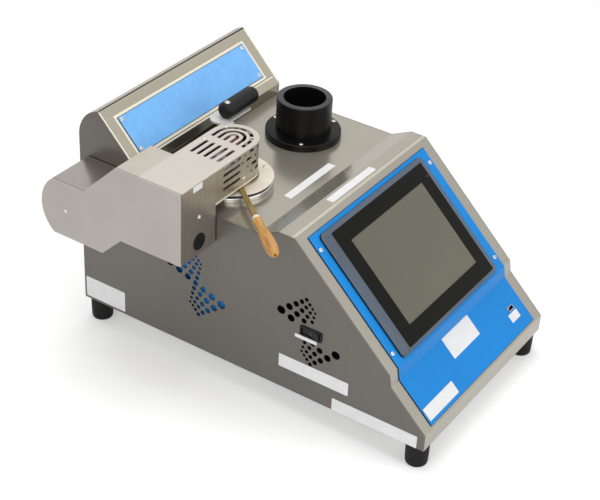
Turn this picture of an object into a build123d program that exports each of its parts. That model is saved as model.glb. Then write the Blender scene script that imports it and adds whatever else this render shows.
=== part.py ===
from build123d import *
import math
import os

os.makedirs("parts", exist_ok=True)

# ----------------------------------------------------------------------------
# Flash point tester: a sheet-metal bench cabinet with a sloping control panel,
# a heated test bath, a swinging test head and a cup stand.
# Origin: centre of the bounding box, on the bench. +Z up, front towards -Y.
# Side views are drawn as (distance behind the front lip, height above bench).
# Plans are drawn as (distance right of the cabinet's middle, distance behind the lip).
# ----------------------------------------------------------------------------

# Sheet metal
sheet = 1.5
bend_radius = 3.0
seam = 0.3
rim_rounding = 0.6
tray_flange = 12.0
rear_inset = 0.5

# Cabinet side view
cabinet_width = 310.0
cabinet_depth = 529.5
foot_height = 33.0
lip_height = 23.5
lower_slope_run = 52.4
lower_slope_rise = 49.7
step_run = 2.9
step_rise = 16.2
upper_slope_run = 143.8
upper_slope_rise = 137.2
ridge_width = 22.2
ramp_run = 29.0
ramp_drop = 13.8
tower_depth = 95.5
tower_foot_rise = 16.2
tower_slope_run = 64.0
tower_slope_rise = 65.6
tower_back_radius = 45.0

# Feet
foot_top_radius = 15.0
foot_sole_radius = 14.0
foot_sole_rounding = 2.5
foot_inset = 16.0
foot_screw_radius = 4.0
foot_screw_recess = 20.0

# Test bath, seen in plan
bath_x = -77.0
bath_behind_middle = 3.35
bath_block_radius = 42.0
bath_block_depth = 82.0
collar_radius = 51.8
collar_height = 6.6
collar_rounding = 1.8
gasket_radius = 51.0
gasket_height = 4.0
bath_plate_radius = 52.4
bath_plate_thickness = 1.4
bath_plate_rounding = 0.5
radial_gap = 0.5

# Test cup
cup_radius = 27.4
cup_wall = 1.6
cup_depth = 57.0
cup_flange_radius = 33.5
cup_flange_thickness = 2.6
cup_floor_rounding = 4.0

# Cup handle
handle_angle = 231.0
bar_width = 6.5
bar_thickness = 3.4
bar_end = 108.5
ferrule_length = 6.0
ferrule_radius = 4.9
wood_length = 77.0
wood_bead_radius = 6.4
wood_neck_radius = 5.4
wood_swell_radius = 8.3
wood_end_radius = 3.9
wood_hole_radius = 1.6
wood_hole_depth = 6.0
wood_bead_at = 4.0
wood_neck_at = 13.0
wood_swell_at = 52.0
wood_end_length = 4.0

# Cup stand
stand_x = 80.9
stand_before_bath = 1.3
stand_flange_radius = 50.7
stand_flange_thickness = 9.2
stand_radius = 37.0
stand_bore_radius = 28.2
stand_height = 55.3
stand_rounding = 1.5
stand_screw_angles = (-150.0, -30.0, 90.0)
plate_screw_angles = (-30.0, 90.0, 210.0)
flange_screw_circle = 45.2

# Screws
screw_head_radius = 3.0
screw_head_height = 1.4
screw_head_taper = 18.0
screw_shank_radius = 1.5
screw_shank_length = 2.4

# Front control panel and display
overlay_thickness = 1.2
front_panel_half = 136.0
front_panel_low = 4.0
front_panel_high = 189.2
front_screw_x = 130.0
front_screw_low = 17.5
front_screw_high = 168.5
display_middle = 93.4
bezel_width = 229.5
bezel_height = 180.5
bezel_proud = 7.5
bezel_corner = 6.0
bezel_bevel = 3.5
glass_width = 211.0
glass_height = 165.0
glass_thickness = 1.4
glass_corner = 2.0
screen_width = 169.5
screen_height = 125.0
screen_drop = 0.4
display_case_width = 200.0
display_case_height = 150.0
display_case_depth = 26.0
fit_gap = 0.2

# Front socket
socket_x = 109.0
socket_along = 37.0
socket_width = 13.2
socket_height = 6.0
socket_wall = 0.7
socket_depth = 14.0
socket_proud = 0.5
socket_tongue = 1.8
socket_tongue_length = 9.0

# Power switch in the left side
switch_y = 167.8
switch_z = 134.0
switch_length = 31.5
switch_height = 14.0
switch_corner = 1.5
switch_flange = 1.8
switch_wall = 1.2
switch_body_depth = 16.0
switch_opening_length = 27.6
switch_opening_height = 10.4
rocker_side_gap = 0.4
rocker_end_gap = 0.6
rocker_end_rise = 4.9
rocker_dip_rise = 3.9
rocker_base_depth = 4.0
rocker_tilt = 7.0
rocker_pivot_depth = 3.2
rocker_pin_radius = 1.5
rocker_pin_reach = 0.8

# Vent holes: a fan of shrinking holes, drawn twice, turned half a turn
vent_middle_y = 171.9
vent_middle_z = 134.0
vent_pairs = 2
vent_pair_pitch = 171.5
vent_columns = 5
vent_rows = 4
vent_column_step = 15.2
vent_column_shrink = 0.83
vent_column_angle = 139.5
vent_row_step = 16.0
vent_row_step_shrink = 0.91
vent_row_crowding = 0.82
vent_row_angle = 201.8
vent_row_turn = 6.6
vent_hole_diameter = 12.0
vent_hole_column_shrink = 0.83
vent_hole_row_shrink = 0.87
vent_switch_margin = 2.5

# Tower panel
tower_panel_half = 133.3
tower_panel_low = 19.3
tower_panel_high = 71.8
tower_screw_x = 128.0
tower_screw_margin = 4.4
overlay_corner = 1.0

# Swinging head
head_gap = 1.5
head_width = 69.7
head_top = 310.5
head_bottom = 209.4
hub_top = 258.5
hub_bottom = 180.0
box_top_reach = 80.4
box_bottom_reach = 86.8
hub_corner_inset = 15.5
hub_overhang = 3.0
pivot_inset = 37.5
inner_plate = 3.0
side_plate_thickness = 2.0
side_plate_seam = 0.8
side_plate_flange = 6.0
pivot_screw_proud = 0.8
pivot_screw_radius = 2.6

# Nose over the bath
nose_radius = 32.5
nose_bottom = 262.3
nose_floor_thickness = 2.0
nose_wall_inset = 0.8
nose_wall_thickness = 1.2
nose_slot_width = 4.8
nose_slot_pitch = 10.0
nose_slot_start = -61.0
nose_slot_end = -26.0
nose_arc_start = -13.5
nose_arc_radii = (23.0, 14.0, 5.0)
nose_arc_web = 3.0
nose_arc_web_angle = -55.0
nose_slot_count = 5
nose_top_screws = ((-24.0, 26.5), (15.0, 22.5))
nose_front_screw = (-20.8, 9.9)
nose_hem_height = 2.8
wall_slot_height = 4.4
wall_slot_pitch = 9.7
wall_slot_drop = 5.5
wall_slot_start = -63.5
wall_slot_end = -28.0
wall_brick_starts = (-6.0, -10.5, 0.5, 8.5)
wall_brick_count = 4
wall_brick_pitch = 27.0
wall_brick_length = 11.0
wall_brick_height = 4.2
wall_hole_lead = 13.0
wall_hole_radius = 1.8

# Head front
plug_x = -189.5
plug_z = 227.6
plug_radius = 11.4
plug_flange = 1.0
plug_barrel_radius = 9.6
plug_barrel_depth = 7.0
lamp_z = 262.6
lamp_radius = 2.3
lamp_proud = 1.0
lamp_depth = 8.0

# Pivot
shaft_radius = 12.0
shaft_flange_radius = 22.0
shaft_flange_thickness = 1.2
shaft_length = 50.0
bush_length = 42.0
bush_wall = 4.0
running_gap = 0.05
retainer_radius = 18.0
retainer_thickness = 3.0
retainer_gap = 0.4
spigot_radius = 9.0
backing_radius = 22.0
backing_thickness = 5.0

# Lid mechanism in the nose
lid_radius = 31.0
lid_clearance = 0.3
lid_boss_radius = 24.6
lid_boss_height = 4.0
port_circle = 13.5
port_radius = 2.0
port_angles = (90.0, 210.0, 330.0)
shutter_radius = 19.0
shutter_thickness = 1.5
shutter_gap = 0.3
shutter_turn = 40.0
shutter_window_half_angle = 29.0
shutter_window_inner = 9.5
shutter_window_outer = 17.2
shutter_shaft_radius = 2.5
bridge_level = 286.0
bridge_thickness = 2.0
bridge_width = 34.0
bridge_riser = -121.0
bridge_foot = 16.0
bridge_end = -60.0
motor_radius = 10.5
motor_height = 17.0
motor_bore_depth = 6.0
igniter_radius = 1.5
igniter_tip = 274.0
igniter_travel = 12.5
igniter_head_radius = 2.6
igniter_head_height = 2.5
igniter_boss_radius = 2.9
igniter_boss_height = 2.0
probe_circle = 22.2
probe_radius = 1.6
probe_dip = 28.0
probe_stand = 12.0
probe_head_radius = 2.0

# Grip on the head
grip_radius = 10.8
grip_behind_nose = 15.0
grip_z = 310.5
grip_start = -33.0
grip_end = 34.0
grip_seat = 300.0
grip_chamfer = 3.0
grip_dome = 7.0
bracket_thickness = 3.0
bracket_behind_grip = 5.0
bracket_round = 14.8
bracket_round_x = -30.5
bracket_pad_end = 14.0
bracket_strip_start = -108.0
bracket_strip_reach = 10.5
bracket_flange_drop = 18.0
bracket_flange_end = -80.0
grip_screw_x = -25.0
grip_washer_radius = 3.6
grip_screw_radius = 2.4
grip_washer_thickness = 0.8
grip_screw_rise = 1.2

# Rear of the cabinet
fan_x = -70.0
fan_z = 160.0
fan_size = 80.0
fan_depth = 25.0
fan_bore_radius = 37.5
fan_corner = 4.0
fan_frame_web = 3.0
fan_hub_radius = 17.0
fan_rotor_radius = 35.5
fan_blades = 7
fan_blade_sweep = 34.0
fan_blade_thickness = 1.6
fan_blade_chord = 18.0
fan_spider_bar = 5.0
fan_shaft_radius = 3.0
fan_spider_radius = 18.0
fan_spider_thickness = 3.0
fan_screw_inset = 4.25
guard_bar = 2.2
guard_thickness = 1.8
guard_ring_pitch = 9.0
guard_rings = 4
guard_ear_radius = 5.0
inlet_x = 95.0
inlet_z = 75.0
inlet_flange_width = 50.0
inlet_flange_height = 26.0
inlet_flange_thickness = 2.4
inlet_body_width = 28.0
inlet_body_height = 20.0
inlet_body_depth = 18.0
inlet_cavity_width = 24.0
inlet_cavity_height = 16.0
inlet_cavity_depth = 15.0
inlet_cavity_corner = 4.0
pin_width = 2.0
pin_height = 4.0
pin_length = 9.0
pin_pitch = 7.0
pin_rise = 2.0

# Inside the cabinet
baffle_width = 104.0
baffle_height = 110.0
baffle_gap = 8.0
baffle_sheet = 1.0
supply_start = 140.0
supply_length = 120.0
supply_width = 60.0
supply_height = 118.0
supply_gap = 22.0
board_x = 60.0
board_y = 330.0
board_length = 150.0
board_width = 110.0
board_thickness = 1.6
board_stand_height = 8.0
board_stand_radius = 3.0
board_stand_margin = 6.0
insulation_radius = 60.0
insulation_height = 62.0

# ----------------------------------------------------------------------------
# Places worked out from the sizes above
# ----------------------------------------------------------------------------
hub_back = cabinet_depth + hub_overhang
middle_x = (head_gap + head_width + pivot_screw_proud) / 2
front_y = -hub_back / 2
side_x = cabinet_width / 2
inner_half = side_x - sheet
inner_width = 2 * inner_half
rear_outer = cabinet_depth - rear_inset
rear_inner = rear_outer - sheet

base_front = (0.0, foot_height)
lip_corner = (0.0, foot_height + lip_height)
step_foot = (lower_slope_run, lip_corner[1] + lower_slope_rise)
step_head = (step_foot[0] + step_run, step_foot[1] + step_rise)
ridge_front = (step_head[0] + upper_slope_run, step_head[1] + upper_slope_rise)
ridge_back = (ridge_front[0] + ridge_width, ridge_front[1])
deck_z = ridge_back[1] - ramp_drop
deck_front = (ridge_back[0] + ramp_run, deck_z)
deck_back = (cabinet_depth, deck_z)
base_back = (cabinet_depth, foot_height)
tower_front = cabinet_depth - tower_depth
tower_foot = (tower_front, deck_z)
tower_bend = (tower_front, deck_z + tower_foot_rise)
tower_ridge = (tower_front + tower_slope_run, tower_bend[1] + tower_slope_rise)
back_middle_y = cabinet_depth - tower_back_radius
back_rise = math.sqrt(tower_back_radius**2 - (tower_ridge[0] - back_middle_y) ** 2)
back_middle_z = tower_ridge[1] - back_rise
back_start = math.atan2(back_rise, tower_ridge[0] - back_middle_y)
back_top = (cabinet_depth, back_middle_z)
under_deck = deck_z - sheet
bath_y = (deck_front[0] + tower_front) / 2 + bath_behind_middle
stand_y = bath_y - stand_before_bath
tray_top = foot_height + sheet

head_right = -side_x - head_gap
head_left = head_right - head_width
head_front = bath_y - nose_radius
nose_back = bath_y + nose_radius
pivot_y = cabinet_depth - pivot_inset
hub_corner = cabinet_depth - hub_corner_inset
box_back_top = pivot_y - box_top_reach
box_back_bottom = pivot_y - box_bottom_reach
hub_middle = (hub_top + hub_bottom) / 2
box_front_bottom = (head_front, head_bottom)
box_back_low = (box_back_bottom, head_bottom)
hub_front_low = (box_back_bottom + head_bottom - hub_bottom, hub_bottom)
hub_back_low = (hub_corner, hub_bottom)
hub_back_high = (hub_corner, hub_top)
hub_front_high = (box_back_top + head_top - hub_top, hub_top)
box_back_high = (box_back_top, head_top)
box_front_top = (head_front, head_top)
cover_underside = head_top - sheet

collar_top = deck_z + collar_height
plate_bottom = collar_top + gasket_height
plate_top = plate_bottom + bath_plate_thickness
cup_rim = plate_top + cup_flange_thickness
cup_bore_radius = cup_radius + radial_gap
lid_bottom = cup_rim + lid_clearance
nose_floor_top = nose_bottom + nose_floor_thickness
lid_top = nose_bottom + lid_boss_height
shutter_bottom = lid_top + shutter_gap
shutter_top = shutter_bottom + shutter_thickness
bridge_top = bridge_level + bridge_thickness
wall_radius = nose_radius - nose_wall_inset
bar_bottom = plate_top + fit_gap
handle_z = bar_bottom + bar_thickness / 2
wood_start = bar_end + ferrule_length
stand_flange_top = deck_z + stand_flange_thickness
bracket_bottom = grip_seat - bracket_thickness
wall_back = bath_y + wall_radius
grip_y = nose_back + grip_behind_nose
bracket_middle = grip_y + bracket_behind_grip
bracket_strip_end = nose_back + bracket_strip_reach
wall_slot_top = head_top - wall_slot_drop
retainer_start = head_right - bush_length - retainer_gap
shaft_end = retainer_start - retainer_thickness
shaft_flange_face = -side_x - shaft_flange_thickness
nose_screws_at = [(bath_x + right, bath_y + behind) for right, behind in nose_top_screws]
front_screw_at = (bath_x + nose_front_screw[0], nose_bottom + nose_front_screw[1])

foot_places = (
    ("front_left", foot_inset - side_x, foot_inset),
    ("front_right", side_x - foot_inset, foot_inset),
    ("rear_left", foot_inset - side_x, cabinet_depth - foot_inset),
    ("rear_right", side_x - foot_inset, cabinet_depth - foot_inset),
)
front_screws_at = [
    (side * front_screw_x, along)
    for side in (-1, 1)
    for along in (front_screw_low, front_screw_high)
]
tower_screws_at = [
    (side * tower_screw_x, along)
    for side in (-1, 1)
    for along in (
        tower_panel_low + tower_screw_margin,
        tower_panel_high - tower_screw_margin,
    )
]
fan_screws_at = [
    (fan_x + side * (fan_size / 2 - fan_screw_inset), fan_z + rise * (fan_size / 2 - fan_screw_inset))
    for side in (-1, 1)
    for rise in (-1, 1)
]
inlet_screws_at = [
    (inlet_x + side * (inlet_flange_width + inlet_body_width) / 4, inlet_z)
    for side in (-1, 1)
]


def side_plane(x):
    """The side view at x, drawn as (behind the lip, above the bench)."""
    return Plane(origin=(middle_x + x, front_y, 0), x_dir=(0, 1, 0), z_dir=(1, 0, 0))


def front_plane(y):
    """The front view at y, drawn as (right of the middle, above the bench)."""
    return Plane(origin=(middle_x, front_y + y, 0), x_dir=(1, 0, 0), z_dir=(0, -1, 0))


def plan(z):
    """The plan at height z, drawn as (right of the middle, behind the lip)."""
    return Plane(origin=(middle_x, front_y, z))


def slope_plane(low, high):
    """A plane on the slope from low to high, with its Y axis up the slope."""
    return Plane(
        origin=(middle_x, front_y + low[0], low[1]),
        x_dir=(1, 0, 0),
        z_dir=(0, low[1] - high[1], high[0] - low[0]),
    )


def on_slope(low, high, along, raised=0.0):
    """The side-view point up the slope from low to high, and raised off it."""
    length = math.dist(low, high)
    run = (high[0] - low[0]) / length
    rise = (high[1] - low[1]) / length
    return (low[0] + along * run - raised * rise, low[1] + along * rise + raised * run)


def around(x, y, radius, degrees):
    """The plan point at a radius and an angle round (x, y)."""
    angle = math.radians(degrees)
    return (x + radius * math.cos(angle), y + radius * math.sin(angle))


def back_point(angle):
    """The side-view point at an angle on the tower's rounded back."""
    y = back_middle_y + tower_back_radius * math.cos(angle)
    z = back_middle_z + tower_back_radius * math.sin(angle)
    return (y, z)


upper_slope = slope_plane(step_head, ridge_front)
lower_slope = slope_plane(lip_corner, step_foot)
tower_slope = slope_plane(tower_bend, tower_ridge)
plate_screws_at = [
    around(bath_x, bath_y, flange_screw_circle, angle) for angle in plate_screw_angles
]
stand_screws_at = [
    around(stand_x, stand_y, flange_screw_circle, angle) for angle in stand_screw_angles
]
probe_at = (bath_x + probe_circle, bath_y)
igniter_at = around(bath_x, bath_y, port_circle, port_angles[0])
handle_turn = math.radians(handle_angle)
handle_out = (math.cos(handle_turn), math.sin(handle_turn), 0)
handle_axis = Axis((middle_x + bath_x, front_y + bath_y, handle_z), handle_out)
handle_section = Plane(
    origin=(middle_x + bath_x, front_y + bath_y, handle_z),
    x_dir=handle_out,
    z_dir=(math.sin(handle_turn), -math.cos(handle_turn), 0),
)
handle_plan = Plane(
    origin=(middle_x + bath_x, front_y + bath_y, bar_bottom),
    x_dir=handle_out,
    z_dir=(0, 0, 1),
)


# ----------------------------------------------------------------------------
# Outlines and patterns that several pieces share
# ----------------------------------------------------------------------------
def cabinet_outline():
    """Draws the cabinet's closed side view, without the tower."""
    FilletPolyline(
        base_front,
        lip_corner,
        step_foot,
        step_head,
        ridge_front,
        ridge_back,
        deck_front,
        deck_back,
        radius=bend_radius,
    )
    Polyline(deck_back, base_back, base_front)


def tower_outline():
    """Draws the tower's closed side view."""
    FilletPolyline(tower_foot, tower_bend, tower_ridge, radius=bend_radius)
    ThreePointArc(tower_ridge, back_point(back_start / 2), back_top)
    Polyline(back_top, deck_back, tower_foot)


def head_outline():
    """Draws the swinging head's closed side view."""
    Polyline(
        hub_back_low,
        hub_front_low,
        box_back_low,
        box_front_bottom,
        box_front_top,
        box_back_high,
        hub_front_high,
        hub_back_high,
    )
    ThreePointArc(hub_back_high, (hub_back, hub_middle), hub_back_low)


def nose_outline(radius, start):
    """Draws the nose's closed plan, straight from start and round at its end."""
    Polyline((bath_x, bath_y - radius), (start, bath_y - radius), (start, bath_y + radius))
    Line((start, bath_y + radius), (bath_x, bath_y + radius))
    ThreePointArc(
        (bath_x, bath_y + radius),
        (bath_x + radius, bath_y),
        (bath_x, bath_y - radius),
    )


def on_nose_wall(along, height):
    """A plane on the nose wall, at a length along it from where its curve starts."""
    flat = along if along < 0 else 0
    angle = (along - flat) / wall_radius - math.pi / 2
    return Plane(
        origin=(
            middle_x + bath_x + flat + wall_radius * math.cos(angle),
            front_y + bath_y + wall_radius * math.sin(angle),
            height,
        ),
        x_dir=(-math.sin(angle), math.cos(angle), 0),
        z_dir=(math.cos(angle), math.sin(angle), 0),
    )


def vent_holes():
    """Places and diameters of one fan of holes, out from the pair's shared hole."""
    first_turn = math.radians(vent_row_angle)
    reach = vent_row_step * sum(vent_row_step_shrink**row for row in range(vent_rows - 1))
    row_start = (-reach * math.cos(first_turn), -reach * math.sin(first_turn))
    holes = []
    for column in range(vent_columns):
        turn = math.radians(vent_row_angle + vent_row_turn * column)
        place = row_start
        for row in range(vent_rows):
            shrink = vent_hole_column_shrink**column * vent_hole_row_shrink**row
            holes.append((place[0], place[1], vent_hole_diameter * shrink))
            step = vent_row_step * vent_row_crowding**column * vent_row_step_shrink**row
            place = (place[0] + step * math.cos(turn), place[1] + step * math.sin(turn))
        column_turn = math.radians(vent_column_angle)
        step = vent_column_step * vent_column_shrink**column
        row_start = (
            row_start[0] + step * math.cos(column_turn),
            row_start[1] + step * math.sin(column_turn),
        )
    return holes


def clear_of_switch(y, z, diameter):
    """True where a vent hole stays clear of the power switch."""
    reach = diameter / 2 + vent_switch_margin
    beside = abs(y - switch_y) > switch_length / 2 + reach
    above = abs(z - switch_z) > switch_height / 2 + reach
    return beside or above


def all_vents():
    """Every vent hole in the left side as (behind the lip, height, diameter)."""
    vents = []
    shared = vent_rows - 1
    for pair in range(vent_pairs):
        pair_y = vent_middle_y + pair * vent_pair_pitch
        for side in (1, -1):
            for number, (y, z, diameter) in enumerate(vent_holes()):
                place = (pair_y + side * y, vent_middle_z + side * z)
                repeated = side < 0 and number == shared
                if clear_of_switch(*place, diameter) and not repeated:
                    vents.append((*place, diameter))
    return vents


def stand_screws(place, points):
    """Adds pan-head screws that stand on a plane, with their shanks below it."""
    with BuildSketch(place) as heads:
        with Locations(*points):
            Circle(screw_head_radius)
    extrude(heads.sketch, amount=screw_head_height, taper=screw_head_taper)
    with BuildSketch(place) as shanks:
        with Locations(*points):
            Circle(screw_shank_radius)
    extrude(shanks.sketch, amount=-screw_shank_length)


def write(piece, name):
    """Names a finished piece and writes its file."""
    piece.part.label = name
    export_step(piece.part, f"parts/{name}.step")


# ----------------------------------------------------------------------------
# Cabinet
# ----------------------------------------------------------------------------
with BuildPart() as base_tray:
    with BuildSketch(plan(foot_height)):
        with Locations((0, (sheet + rear_inner) / 2)):
            Rectangle(inner_width, rear_inner - sheet)
    extrude(amount=sheet)
    with BuildSketch(plan(tray_top)):
        for side in (-1, 1):
            with Locations((side * (inner_half - sheet / 2), (sheet + rear_inner) / 2)):
                Rectangle(sheet, rear_inner - sheet)
    extrude(amount=tray_flange)
write(base_tray, "base_tray")

with BuildPart() as top_cover:
    with BuildSketch(side_plane(-inner_half)):
        with BuildLine():
            cabinet_outline()
        make_face()
        offset(amount=-sheet, kind=Kind.INTERSECTION, mode=Mode.SUBTRACT)
        with Locations((cabinet_depth / 2, foot_height)):
            Rectangle(cabinet_depth - 2 * sheet, 2 * sheet, mode=Mode.SUBTRACT)
        with Locations((cabinet_depth, (foot_height + under_deck) / 2)):
            Rectangle(2 * sheet, under_deck - foot_height, mode=Mode.SUBTRACT)
    extrude(amount=inner_width)
    with BuildSketch(upper_slope):
        with Locations((0, display_middle)):
            Rectangle(display_case_width + 2 * seam, display_case_height + 2 * seam)
        with Locations(*front_screws_at):
            Circle(screw_shank_radius)
    extrude(amount=-2 * sheet, both=True, mode=Mode.SUBTRACT)
    with BuildSketch(lower_slope):
        with Locations((socket_x, socket_along)):
            Rectangle(socket_width, socket_height)
    extrude(amount=-2 * sheet, both=True, mode=Mode.SUBTRACT)
    with BuildSketch(plan(deck_z)):
        with Locations((bath_x, bath_y)):
            Circle(bath_block_radius + radial_gap)
        with Locations(*stand_screws_at):
            Circle(screw_shank_radius)
    extrude(amount=-2 * sheet, both=True, mode=Mode.SUBTRACT)
write(top_cover, "top_cover")

with BuildPart() as right_side_panel:
    with BuildSketch(side_plane(side_x)):
        with BuildLine():
            cabinet_outline()
        make_face()
    extrude(amount=-sheet)
    outer_rim = right_side_panel.faces().sort_by(Axis.X)[-1].outer_wire().edges()
    fillet(outer_rim, rim_rounding)
write(right_side_panel, "right_side_panel")

with BuildPart() as left_side_panel:
    with BuildSketch(side_plane(-side_x)):
        with BuildLine():
            cabinet_outline()
        make_face()
    extrude(amount=sheet)
    outer_rim = left_side_panel.faces().sort_by(Axis.X)[0].outer_wire().edges()
    fillet(outer_rim, rim_rounding)
    with BuildSketch(side_plane(-side_x)):
        for vent_y, vent_z, vent_diameter in all_vents():
            with Locations((vent_y, vent_z)):
                Circle(vent_diameter / 2)
        with Locations((switch_y, switch_z)):
            Rectangle(
                switch_opening_length + 2 * switch_wall,
                switch_opening_height + 2 * switch_wall,
            )
        with Locations((pivot_y, hub_middle)):
            Circle(spigot_radius)
    extrude(amount=sheet, mode=Mode.SUBTRACT)
write(left_side_panel, "left_side_panel")

with BuildPart() as rear_panel:
    with BuildSketch(front_plane(rear_outer)):
        with Locations((0, (foot_height + under_deck) / 2)):
            Rectangle(inner_width, under_deck - foot_height)
        with Locations((fan_x, fan_z)):
            Circle(fan_bore_radius, mode=Mode.SUBTRACT)
        with Locations((inlet_x, inlet_z)):
            Rectangle(inlet_body_width, inlet_body_height, mode=Mode.SUBTRACT)
        with Locations(*fan_screws_at, *inlet_screws_at):
            Circle(screw_shank_radius, mode=Mode.SUBTRACT)
    extrude(amount=sheet)
write(rear_panel, "rear_panel")

with BuildPart() as tower_cover:
    with BuildSketch(side_plane(-side_x)):
        with BuildLine():
            tower_outline()
        make_face()
    extrude(amount=cabinet_width)
    tower_sides = tower_cover.faces().filter_by(Axis.X)
    rims = tower_sides.edges().filter_by(lambda edge: edge.center().Z > deck_z + sheet)
    fillet(rims, rim_rounding)
    with BuildSketch(side_plane(-inner_half)):
        with BuildLine():
            tower_outline()
        make_face()
        offset(amount=-sheet, kind=Kind.INTERSECTION, mode=Mode.REPLACE)
        with Locations(((tower_front + cabinet_depth) / 2, deck_z)):
            Rectangle(cabinet_depth - tower_front - 2 * sheet, 4 * sheet)
    extrude(amount=inner_width, mode=Mode.SUBTRACT)
    with BuildSketch(tower_slope):
        with Locations(*tower_screws_at):
            Circle(screw_shank_radius)
    extrude(amount=-2 * sheet, both=True, mode=Mode.SUBTRACT)
write(tower_cover, "tower_cover")

with BuildPart() as tower_panel:
    with BuildSketch(tower_slope):
        with Locations((0, (tower_panel_low + tower_panel_high) / 2)):
            RectangleRounded(
                2 * tower_panel_half, tower_panel_high - tower_panel_low, overlay_corner
            )
        with Locations(*tower_screws_at):
            Circle(screw_shank_radius, mode=Mode.SUBTRACT)
    extrude(amount=overlay_thickness)
write(tower_panel, "tower_panel")

for place_name, foot_x, foot_y in foot_places:
    foot_axis = Axis((middle_x + foot_x, front_y + foot_y, 0), (0, 0, 1))
    with BuildPart() as foot:
        with BuildSketch(front_plane(foot_y)):
            with BuildLine():
                Polyline(
                    (foot_x + foot_sole_radius - foot_sole_rounding, 0),
                    (foot_x, 0),
                    (foot_x, foot_height),
                    (foot_x + foot_top_radius, foot_height),
                    (foot_x + foot_sole_radius, foot_sole_rounding),
                    (foot_x + foot_sole_radius - foot_sole_rounding, 0),
                )
            make_face()
        revolve(axis=foot_axis)
        sole_edges = foot.edges().filter_by(GeomType.CIRCLE).group_by(Axis.Z)[1]
        fillet(sole_edges, foot_sole_rounding / 2)
        with BuildSketch(plan(0)):
            with Locations((foot_x, foot_y)):
                Circle(foot_screw_radius)
        extrude(amount=foot_screw_recess, mode=Mode.SUBTRACT)
    write(foot, f"foot_{place_name}")

# ----------------------------------------------------------------------------
# Control panel, display and front socket
# ----------------------------------------------------------------------------
with BuildPart() as front_panel:
    with BuildSketch(side_plane(-front_panel_half)):
        with BuildLine():
            cabinet_outline()
        make_face()
        offset(amount=overlay_thickness, kind=Kind.INTERSECTION)
        with BuildLine():
            cabinet_outline()
        make_face(mode=Mode.SUBTRACT)
        with BuildLine():
            Polyline(
                on_slope(lip_corner, step_foot, front_panel_low, -step_rise),
                on_slope(lip_corner, step_foot, front_panel_low, step_rise),
                on_slope(step_head, ridge_front, front_panel_high, step_rise),
                on_slope(step_head, ridge_front, front_panel_high, -step_rise),
                close=True,
            )
        make_face(mode=Mode.INTERSECT)
    extrude(amount=2 * front_panel_half)
    with BuildSketch(upper_slope):
        with Locations((0, display_middle)):
            Rectangle(display_case_width + 2 * seam, display_case_height + 2 * seam)
        with Locations(*front_screws_at):
            Circle(screw_shank_radius)
    extrude(amount=2 * sheet, both=True, mode=Mode.SUBTRACT)
    with BuildSketch(lower_slope):
        with Locations((socket_x, socket_along)):
            Rectangle(socket_width, socket_height)
    extrude(amount=2 * sheet, both=True, mode=Mode.SUBTRACT)
write(front_panel, "front_panel")

panel_face = upper_slope.offset(overlay_thickness)
glass_seat = panel_face.offset(bezel_proud - glass_thickness)

with BuildPart() as display_bezel:
    with BuildSketch(panel_face):
        with Locations((0, display_middle)):
            RectangleRounded(bezel_width, bezel_height, bezel_corner)
    extrude(amount=bezel_proud)
    bezel_top = display_bezel.faces().sort_by(Axis(panel_face.origin, panel_face.z_dir))[-1]
    chamfer(bezel_top.edges(), bezel_bevel)
    with BuildSketch(panel_face):
        with Locations((0, display_middle)):
            Rectangle(display_case_width, display_case_height)
    extrude(amount=bezel_proud, mode=Mode.SUBTRACT)
    with BuildSketch(glass_seat):
        with Locations((0, display_middle)):
            RectangleRounded(glass_width + 2 * fit_gap, glass_height + 2 * fit_gap, glass_corner)
    extrude(amount=glass_thickness, mode=Mode.SUBTRACT)
write(display_bezel, "display_bezel")

with BuildPart() as display_glass:
    with BuildSketch(glass_seat):
        with Locations((0, display_middle)):
            RectangleRounded(glass_width, glass_height, glass_corner)
            Rectangle(screen_width, screen_height, mode=Mode.SUBTRACT)
    extrude(amount=glass_thickness)
write(display_glass, "display_glass")

with BuildPart() as display_screen:
    with BuildSketch(glass_seat):
        with Locations((0, display_middle)):
            Rectangle(screen_width, screen_height)
    extrude(amount=glass_thickness - screen_drop)
write(display_screen, "display_screen")

with BuildPart() as display_case:
    with BuildSketch(glass_seat):
        with Locations((0, display_middle)):
            Rectangle(display_case_width, display_case_height)
    extrude(amount=-display_case_depth)
write(display_case, "display_case")

socket_face = lower_slope.offset(overlay_thickness + socket_proud)
with BuildPart() as usb_socket:
    with BuildSketch(socket_face):
        with Locations((socket_x, socket_along)):
            Rectangle(socket_width, socket_height)
    extrude(amount=-socket_depth)
    with BuildSketch(socket_face):
        with Locations((socket_x, socket_along)):
            Rectangle(socket_width - 2 * socket_wall, socket_height - 2 * socket_wall)
    extrude(amount=socket_wall - socket_depth, mode=Mode.SUBTRACT)
    with BuildSketch(socket_face.offset(socket_wall - socket_depth)):
        with Locations((socket_x, socket_along)):
            Rectangle(socket_width - 4 * socket_wall, socket_tongue)
    extrude(amount=socket_tongue_length)
write(usb_socket, "usb_socket")

# ----------------------------------------------------------------------------
# Power switch in the left side
# ----------------------------------------------------------------------------
rocker_height = switch_opening_height - 2 * rocker_side_gap
rocker_radius = switch_opening_length / 2 - rocker_end_gap
rocker_pivot_x = rocker_pivot_depth - side_x
rocker_end = math.sqrt(rocker_radius**2 - rocker_end_rise**2)
rocker_base = math.sqrt(rocker_radius**2 - rocker_base_depth**2)

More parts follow.
